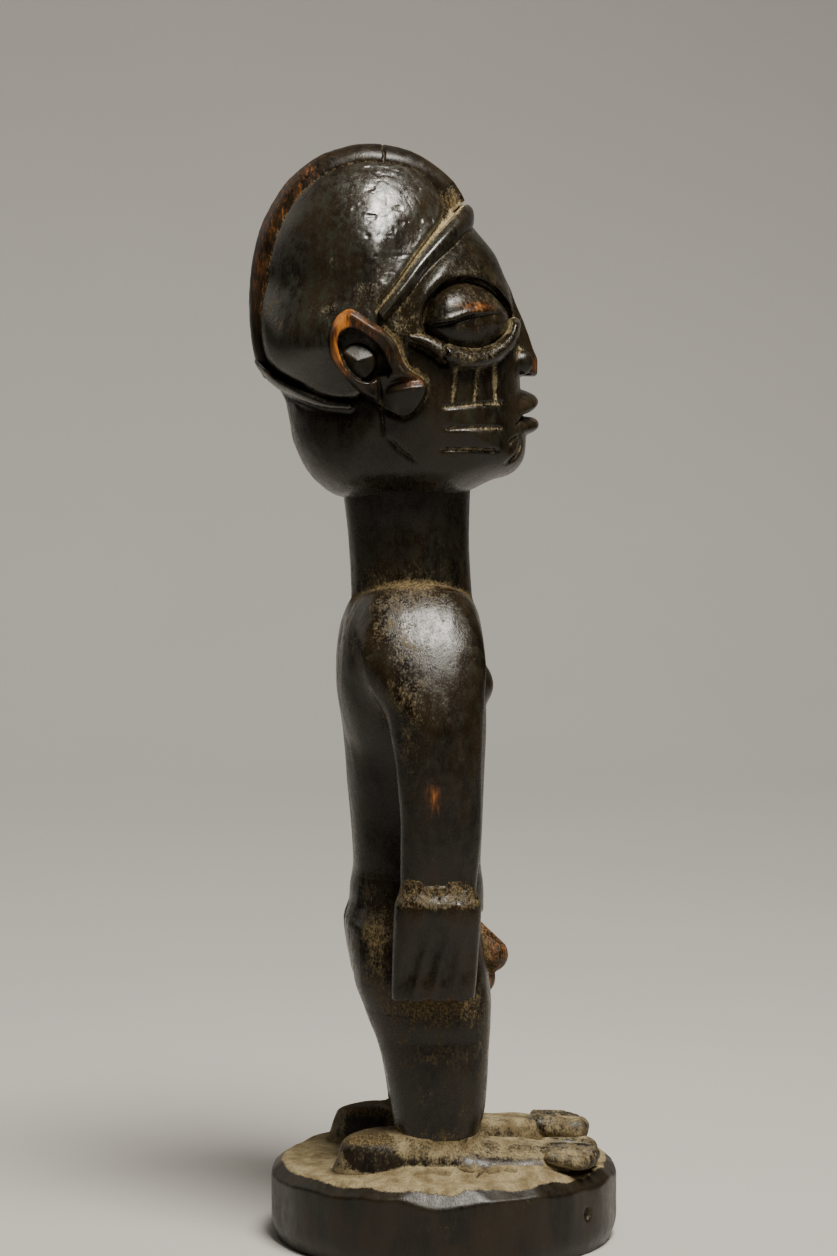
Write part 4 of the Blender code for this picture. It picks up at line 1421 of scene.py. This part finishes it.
LOOKS = {
    "dark_patina": patina("handled wood", grey=0.60, gloss=0.22, sheen=0.33),
    "hair_patina": patina("polished hair", grey=0.95, gloss=0.24, sheen=0.80),
    "worn_patina": patina("rubbed wood", grey=0.45, gloss=0.30),
    "dusty_patina": patina("caked wood", grey=0.45, gloss=0.33, sheen=0.33),
}

ARM_PART = 21.6  # the arms part from the trunk at this distance from the middle
SEAM_Z = SHOULDER_Z + 1.0  # the neck begins here
ROOF_Z = SHOULDER_Z + 8  # clear above the shoulders


def on_side(side, inner):
    return lambda x, f, z: inner - side * x


def within(reach):
    return lambda x, f, z: np.abs(x) - reach


def near_neck(x, f, z):
    """Negative on the neck and in the angle at its foot."""
    return NECK.distance(x, f, z) - 1.0


def off_neck(x, f, z):
    """Negative below the neck and around it."""
    return np.minimum(z - SEAM_Z, 1.0 - NECK.distance(x, f, z))


def add(node, form, corners, masks, slot, step=BODY_STEP, around=body_all):
    piece = sculpt(node + "_wood", form, around, *corners, step, masks)
    piece.data.materials.append(LOOKS[slot])
    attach(piece, "root")
    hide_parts(node)


def add_on_sides(parts, around):
    """Add each part on the right and on the left. A part is its form, the planes that cut it,
    how far from the middle it begins, its box (nearest to the middle, furthest, front, back,
    low, high), its masks, its slot and its grid step."""
    for word, side in (("right", RIGHT), ("left", LEFT)):
        for name, (form, planes, inner, box, masks, slot, step) in parts.items():
            near, far, front, back, low, high = box
            ends = sorted((side * near, side * far))
            corners = (ends[0], back, low), (ends[1], front, high)
            kept = cut(form, on_side(side, inner), *planes)
            add(f"{name}_{word}", kept, corners, masks, slot, step, around)


def build_body():
    body, dark, dusty = body_form, "dark_patina", "dusty_patina"
    add("plinth", plinth_form, ((-46, -46, -2), (46, 46, 24)), plinth_masks, dusty)
    add("neck", cut(body, above(SEAM_Z), below(JAW_Z + 5), near_neck),
        ((-18, -29, 158), (18, 11, 195)), body_masks, dark)
    add("torso", cut(body, above(WAIST_Z), off_neck, within(ARM_PART)),
        ((-25, -30, WAIST_Z - 2), (25, 14, ROOF_Z)), body_masks, dark)
    add("hips", cut(body, above(CROTCH_Z), below(WAIST_Z), within(27)),
        ((-30, -29, CROTCH_Z - 3), (30, 14, WAIST_Z + 3)), body_masks, dark)
    add("loin_boss", boss_form, ((-7, 2, 58), (7, 19, 82)), boss_masks, "worn_patina", HAND_STEP)
    add_on_sides({
        "arm": (body, [above(WRIST_Z - 1.5)], ARM_PART,
                (18, 39, 13, -29, WRIST_Z - 4, ROOF_Z), body_masks, dark, BODY_STEP),
        "hand": (hands_form, [], 0,
                 (22, 38, 11, -18, 62, WRIST_Z + 3), hand_masks, dark, HAND_STEP),
        "leg": (body, [above(ANKLE_Z), below(CROTCH_Z)], 0,
                (-3, 30, 14, -26, ANKLE_Z - 3, CROTCH_Z + 3), body_masks, dark, BODY_STEP),
        "foot": (standing_feet_form, [below(ANKLE_Z)], 0,
                 (4, 33, 43, -31, PLINTH_TOP - 4, ANKLE_Z + 2), foot_masks, dusty, FOOT_STEP),
    }, body_all)


def build_head():
    dark, hair, worn, step = "dark_patina", "hair_patina", "worn_patina", HEAD_STEP
    add("head", core_form, ((-29, -50, 182), (29, 27, 274)), head_masks, dark, step, head_all)
    add("hair_crest", crest_form, ((-8, -51, 208), (8, 12, 275)), crest_masks, worn, step,
        head_all)
    add_on_sides({
        "hair": (panel_form, [], 0, (4, 30, 3, -50, 206, 274), hair_masks, hair, step),
        "hairline": (ridge_form, [], 0, (-2, 30, 12, -20, 226, 264), band_masks, hair, step),
        "nape_band": (nape_form, [], 0, (-2, 29, -20, -52, 204, 224), band_masks, hair, step),
        "ear": (ear_form, [], 0, (16, 36, -2, -33, 204, 236), ear_masks, worn, step),
        "eye": (eye_form, [], 0, (6, 30, 18, -9, 219, 241), eye_masks, dark, step),
        "lower_lid": (lid_form, [], 0, (4, 30, 22, -14, 215, 233), band_masks, dark, step),
    }, head_all)


# ---------------------------------------------------------------- the setting


def build_floor():
    """A floor that bends up into a wall behind the figure, as the camera sees it."""
    size, back, rise, bend, bend_steps = 3, 1.2, 1.6, 0.35, 12  # metres
    profile = [(-size, 0), (back - bend, 0)]
    for step in range(1, bend_steps + 1):
        turn = math.pi / 2 * step / bend_steps
        profile.append((back - bend + bend * math.sin(turn), bend - bend * math.cos(turn)))
    profile.append((back, rise))
    verts = [(x, y, z) for x, z in profile for y in (-size, size)]
    faces = [(2 * i, 2 * i + 2, 2 * i + 3, 2 * i + 1) for i in range(len(profile) - 1)]
    mesh = bpy.data.meshes.new("floor")
    mesh.from_pydata(verts, [], faces)
    mesh.shade_smooth()
    floor = bpy.data.objects.new("floor", mesh)
    bpy.context.scene.collection.objects.link(floor)
    s = Shader("floor")
    cloud = s.texture(160, 3)
    s.link(s.mix(cloud, FLOOR_DARK, FLOOR_LIGHT), s.surface.inputs["Base Color"])
    s.surface.inputs["Roughness"].default_value = 0.9
    s.see_through_from_behind()
    mesh.materials.append(s.material)


def area_light(name, place, target, size, power, colour, spread=math.pi):
    data = bpy.data.lights.new(name, "AREA")
    data.shape = "RECTANGLE"
    data.size, data.size_y = size
    data.energy = power
    data.color = colour
    data.spread = spread
    light = bpy.data.objects.new(name, data)
    light.location = place
    aim = Vector(target) - Vector(place)
    light.rotation_euler = aim.to_track_quat("-Z", "Y").to_euler()
    bpy.context.scene.collection.objects.link(light)


WARM = (1, 0.95, 0.87)
WORLD_LIGHT, WORLD_SEEN = 0.05, 0.20  # strength on the figure, and as the camera sees it


def build_lights():
    area_light("key", (-0.38, -0.18, 1.04), (0, 0.01, 0.16), (0.40, 0.40), 7.6,
               (1, 0.95, 0.86), math.radians(100))
    area_light("fill", (-0.9, -0.9, 0.45), (0, 0, 0.14), (0.8, 0.8), 0.35, (1, 0.93, 0.82))
    area_light("rear", (0.6, 0.9, 0.8), (0, 0, 0.16), (0.8, 0.8), 1.6, WARM)
    area_light("backdrop", (0.50, 0, 1.30), (1.1, 0, 0.30), (1.2, 0.3), 4.5,
               (1, 0.96, 0.90), math.radians(110))
    world = bpy.data.worlds.new("studio")
    world.use_nodes = True
    nodes, links = world.node_tree.nodes, world.node_tree.links
    background = nodes["Background"].inputs
    background["Color"].default_value = (*WARM, 1)
    seen = nodes.new("ShaderNodeLightPath").outputs["Is Camera Ray"]
    strength = nodes.new("ShaderNodeMapRange")
    strength.inputs["To Min"].default_value = WORLD_LIGHT
    strength.inputs["To Max"].default_value = WORLD_SEEN
    links.new(seen, strength.inputs["Value"])
    links.new(strength.outputs["Result"], background["Strength"])
    bpy.context.scene.world = world


CAMERA_PLACE = (-1.0982, 0.0639, 0.2634)
CAMERA_TURN = math.radians(-3)
CAMERA_PITCH = math.radians(5.75)
LENS_MM, SENSOR_MM = 127.8, 36


def build_camera():
    data = bpy.data.cameras.new("camera")
    data.lens = LENS_MM
    data.sensor_width = SENSOR_MM
    camera = bpy.data.objects.new("camera", data)
    camera.location = CAMERA_PLACE
    ahead = Vector((
        math.cos(CAMERA_PITCH) * math.cos(CAMERA_TURN),
        math.cos(CAMERA_PITCH) * math.sin(CAMERA_TURN),
        -math.sin(CAMERA_PITCH),
    ))
    camera.rotation_euler = ahead.to_track_quat("-Z", "Y").to_euler()
    bpy.context.scene.collection.objects.link(camera)
    bpy.context.scene.camera = camera


build_body()
build_head()
build_floor()
build_lights()
build_camera()
